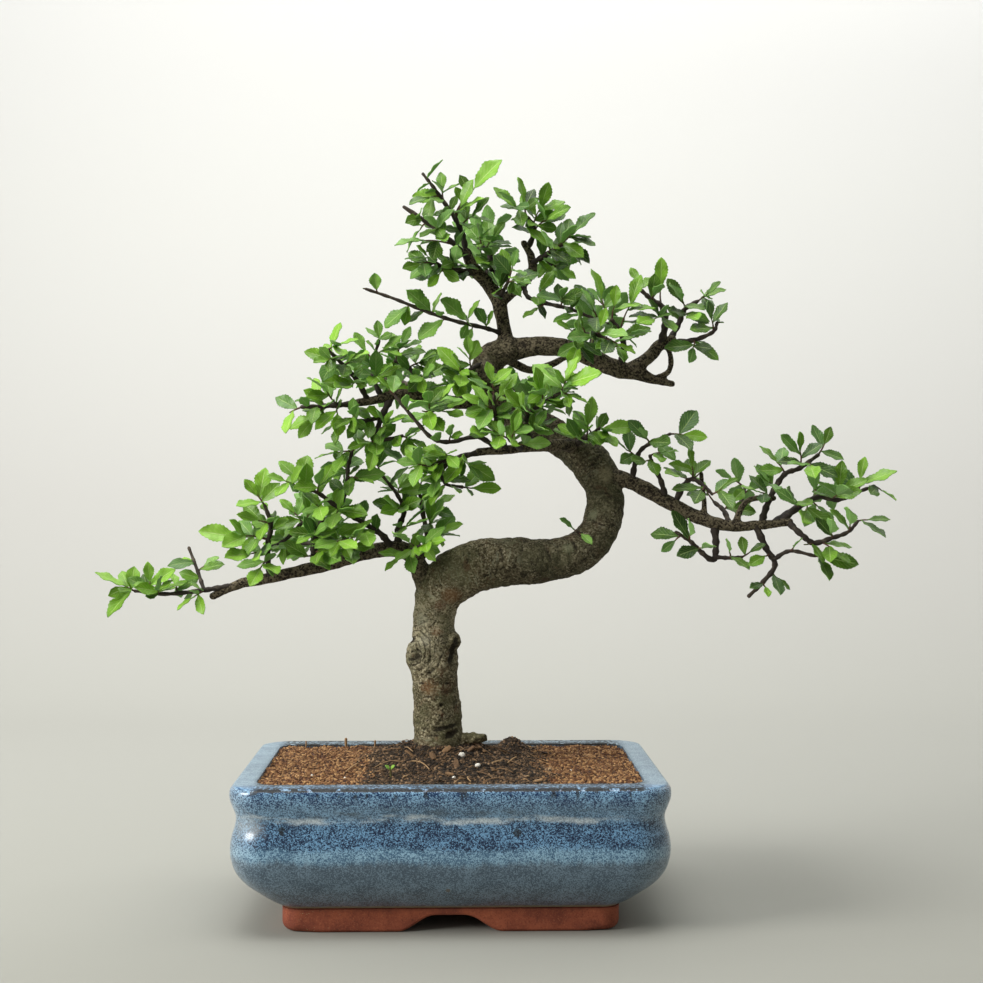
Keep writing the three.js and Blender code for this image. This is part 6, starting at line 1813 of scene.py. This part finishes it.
def soil_finish(settings):
    finish = Finish("soil", {"Roughness": 0.95})
    crumbs = finish.noise(1.3, 4, 0.7)
    finish.colour = finish.mix(crumbs.between(0.35, 0.65), "2b1a10", "6a4429")
    dark = finish.mix(crumbs.between(0.35, 0.65), "17130d", settings.humus_colour)
    finish.tint(finish.mark("humus"), dark)
    return finish.wear(0.85 + crumbs * 0.12, crumbs, 0.8, 1.0)


def grain_finish(name, tones, blob):
    """Crumbs whose colour runs along the tones from the darkest to the palest."""
    finish = Finish(name, {"Roughness": 0.92})
    dust = finish.noise(blob, 3, 0.65)
    finish.ramp(finish.mark("tone") + (dust - 0.5) * 0.5, tones)
    return finish.wear(0.82 + dust * 0.15, dust, 0.4, 0.9)


def perlite_finish():
    finish = Finish("perlite", {"Roughness": 0.95})
    pits = finish.cells(0.6)
    dust = finish.noise(0.9, 3)
    finish.colour = finish.mix(pits.between(0.5, 0.15), "e9e5da", "b9b2a2")
    finish.tint(dust.between(0.55, 0.75) * 0.4, "a08a6d")
    return finish.wear(0.88 + dust * 0.1, pits, 0.3, 0.9)


def plastic_finish():
    finish = Finish("black plastic", {"Roughness": 0.55})
    scuff = finish.noise(1.2, 3)
    finish.colour = finish.mix(scuff, "1a1b1c", "34332f")
    return finish.wear(0.45 + scuff * 0.25, scuff, 0.1, 0.5)


def sweep_finish():
    """Pale paper sweep with painted light and shade: darker on the floor and lighter towards its top."""
    finish = Finish("paper sweep", {"Roughness": 0.95, "Specular IOR Level": 0.1})
    _, back_mm, height_mm = finish.axes(finish.place)
    finish.ramp((height_mm + back_mm * 0.5 + 160) * 0.0005, [
        (0.04, "96968e"), (0.16, "a6a69f"), (0.3, "b8b8b1"), (0.52, "cccbc6"), (0.82, "eaeae6"),
        (0.98, "f8f8f6"),
    ])
    return finish.wear()


def sweep_shell():
    """Floor that curves up into a wall behind, far enough away to leave room for every view."""
    profile = [(-2600, 0), (0, 0), (SWEEP["floor_end"], 0)]
    for step in range(1, 25):
        angle = step / 24 * math.pi / 2
        radius = SWEEP["radius"]
        profile.append((SWEEP["floor_end"] + radius * math.sin(angle), radius * (1 - math.cos(angle))))
    profile.append((SWEEP["floor_end"] + SWEEP["radius"], SWEEP["height"]))
    points = np.array([(x, y, z) for y, z in profile for x in (-SWEEP["half_width"], SWEEP["half_width"])])
    faces = [(2 * row, 2 * row + 1, 2 * row + 3, 2 * row + 2) for row in range(len(profile) - 1)]
    return points, faces


def area_light(name, place_m, target_m, size, power, tint="ffffff"):
    data = bpy.data.lights.new(name, "AREA")
    data.shape = "RECTANGLE"
    data.size, data.size_y = size
    data.energy = power
    data.color = paint(tint)[:3]
    lamp = bpy.data.objects.new(name, data)
    lamp.location = place_m
    lamp.rotation_euler = (Vector(target_m) - Vector(place_m)).to_track_quat("-Z", "Y").to_euler()
    bpy.context.scene.collection.objects.link(lamp)


def set_camera():
    data = bpy.data.cameras.new("view")
    data.sensor_width = SENSOR_WIDTH
    data.lens = VIEW_FOCUS * SENSOR_WIDTH / IMAGE_WIDTH
    camera = bpy.data.objects.new("view", data)
    camera.location = to_frame(EYE)
    camera.rotation_euler = (math.pi / 2, 0, -VIEW_TURN)
    bpy.context.scene.collection.objects.link(camera)
    bpy.context.scene.camera = camera


def set_world(strength):
    world = bpy.data.worlds.new("soft room")
    world.use_nodes = True
    light = world.node_tree.nodes["Background"]
    light.inputs["Color"].default_value = paint("f4f5f2")
    light.inputs["Strength"].default_value = strength
    bpy.context.scene.world = world


def colour_setting(name, description, code):
    return bpy.props.FloatVectorProperty(
        name=name, description=description, subtype="COLOR", size=4, min=0, max=1, default=paint(code),
    )


class BonsaiSettings(bpy.types.PropertyGroup):
    """Sizes and colours of the tree, its soil and its pot."""

    leaf_dark: colour_setting("Old leaf", "Darkest leaves", "4a6f16")
    leaf_middle: colour_setting("Leaf", "Most of the leaves", "73a026")
    leaf_bright: colour_setting("Young leaf", "Freshest leaves", "84b03e")
    leaf_under: colour_setting("Under leaf", "Underside of the leaves", "7ca658")
    twig_colour: colour_setting("Twig", "Bark of the thin twigs", "45372a")
    bark_dark: colour_setting("Dark bark", "Hollows between the plates of bark", "554c37")
    bark_light: colour_setting("Light bark", "Plates of bark", "7f775d")
    glaze_dark: colour_setting("Glaze ground", "Ground of the two dark bands", "102f54")
    glaze_speck: colour_setting("Glaze speck", "Specks in the dark bands", "82acca")
    glaze_belly_dark: colour_setting("Belly ground", "Ground of the lower wall", "374a5a")
    glaze_belly_pale: colour_setting("Belly speck", "Specks of the lower wall", "698091")
    clay_dark: colour_setting("Dark clay", "Shaded clay of the foot", "7a3b28")
    clay_light: colour_setting("Light clay", "Clay of the foot", "a15539")
    humus_colour: colour_setting("Humus", "Dark soil round the trunk", "4b3b2a")
    wood_detail: bpy.props.FloatProperty(
        name="Bark detail", description="Size of the facets of the bark, in millimetres",
        default=0.95, min=0.6, max=3,
    )
    grain_size: bpy.props.FloatProperty(
        name="Granules", description="Half width of a clay granule, in millimetres",
        default=1.05, min=0.6, max=4,
    )
    grain_spacing: bpy.props.FloatProperty(
        name="Granule spacing", description="Least distance between granules, in millimetres",
        default=1.3, min=0.8, max=6,
    )
    grain_seed: bpy.props.IntProperty(
        name="Granule seed", description="Other places for the granules", default=4,
    )
    room_light: bpy.props.FloatProperty(
        name="Room light", description="Strength of the even light of the room", default=0.3, min=0, max=4,
    )


class WoodOperator(bpy.types.Operator):
    """Grow the trunk and the branches with their bark"""

    bl_idname = "bonsai.wood"
    bl_label = "Trunk and branches"

    def execute(self, context):
        settings = context.scene.bonsai
        grow_wood(settings.wood_detail, [bark_finish(settings)])
        return {"FINISHED"}


class SpraysOperator(bpy.types.Operator):
    """Grow the twigs, the shoots and the leaves of every spray"""

    bl_idname = "bonsai.sprays"
    bl_label = "Leafy sprays"

    def execute(self, context):
        settings = context.scene.bonsai
        materials = [leaf_finish(settings), twig_finish(settings)]
        grow_sprays(materials)
        grow_seedling(materials)
        return {"FINISHED"}


class PotOperator(bpy.types.Operator):
    """Throw the bowl with its foot ring, and give the screens over its drain holes their black plastic"""

    bl_idname = "bonsai.pot"
    bl_label = "Pot"

    def execute(self, context):
        settings = context.scene.bonsai
        throw_pot([glaze_finish(settings), clay_finish(settings)])
        plastic = plastic_finish()
        for node in ("drain_screen_left", "drain_screen_right"):
            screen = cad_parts[node]
            screen.data.materials.clear()
            screen.data.materials.append(plastic)
        return {"FINISHED"}


class SoilOperator(bpy.types.Operator):
    """Lay the soil with its granules, flakes of bark, fibres and perlite"""

    bl_idname = "bonsai.soil"
    bl_label = "Soil"

    def execute(self, context):
        settings = context.scene.bonsai
        lay_soil([soil_finish(settings)])
        size, spacing, seed = settings.grain_size, settings.grain_spacing, settings.grain_seed
        granule = grain_finish("clay granules", GRANULE_TONES, 0.9)
        crumb = grain_finish("humus crumbs", CRUMB_TONES, 0.7)
        strew_grains("soil_granules", size, spacing, seed, False, granule)
        strew_grains("soil_crumbs", 0.95 * size, 0.95 * spacing, seed + 1, True, crumb)
        scatter_litter([grain_finish("bark flakes", FLAKE_TONES, 1.2)])
        strew_perlite(perlite_finish())
        return {"FINISHED"}


class StageOperator(bpy.types.Operator):
    """Set the pale sweep, the soft lights and the camera"""

    bl_idname = "bonsai.stage"
    bl_label = "Stage"

    def execute(self, context):
        points, faces = sweep_shell()
        mesh_piece("paper_sweep", to_frame(points), faces, [sweep_finish()])
        for name, place_mm, size, target_mm, power, tint in LAMPS:
            area_light(name, to_frame(place_mm), to_frame(target_mm), size, power, tint)
        set_camera()
        set_world(context.scene.bonsai.room_light)
        context.scene.view_settings.view_transform = "Standard"
        return {"FINISHED"}


class BonsaiPanel(bpy.types.Panel):
    """Lists the pieces and what can be changed"""

    bl_idname = "VIEW3D_PT_bonsai"
    bl_label = "Chinese elm bonsai"
    bl_space_type = "VIEW_3D"
    bl_region_type = "UI"
    bl_category = "Bonsai"

    def draw(self, context):
        for operator in OPERATORS:
            self.layout.operator(operator.bl_idname)
        for name in BonsaiSettings.__annotations__:
            self.layout.prop(context.scene.bonsai, name)


OPERATORS = (StageOperator, PotOperator, SoilOperator, WoodOperator, SpraysOperator)
CLASSES = (BonsaiSettings, *OPERATORS, BonsaiPanel)


def register():
    for cls in CLASSES:
        bpy.utils.register_class(cls)
    bpy.types.Scene.bonsai = bpy.props.PointerProperty(type=BonsaiSettings)


def unregister():
    del bpy.types.Scene.bonsai
    for cls in reversed(CLASSES):
        bpy.utils.unregister_class(cls)


def main():
    register()
    bpy.ops.bonsai.stage()
    bpy.ops.bonsai.pot()
    bpy.ops.bonsai.soil()
    bpy.ops.bonsai.wood()
    bpy.ops.bonsai.sprays()


if __name__ == "__main__":
    main()
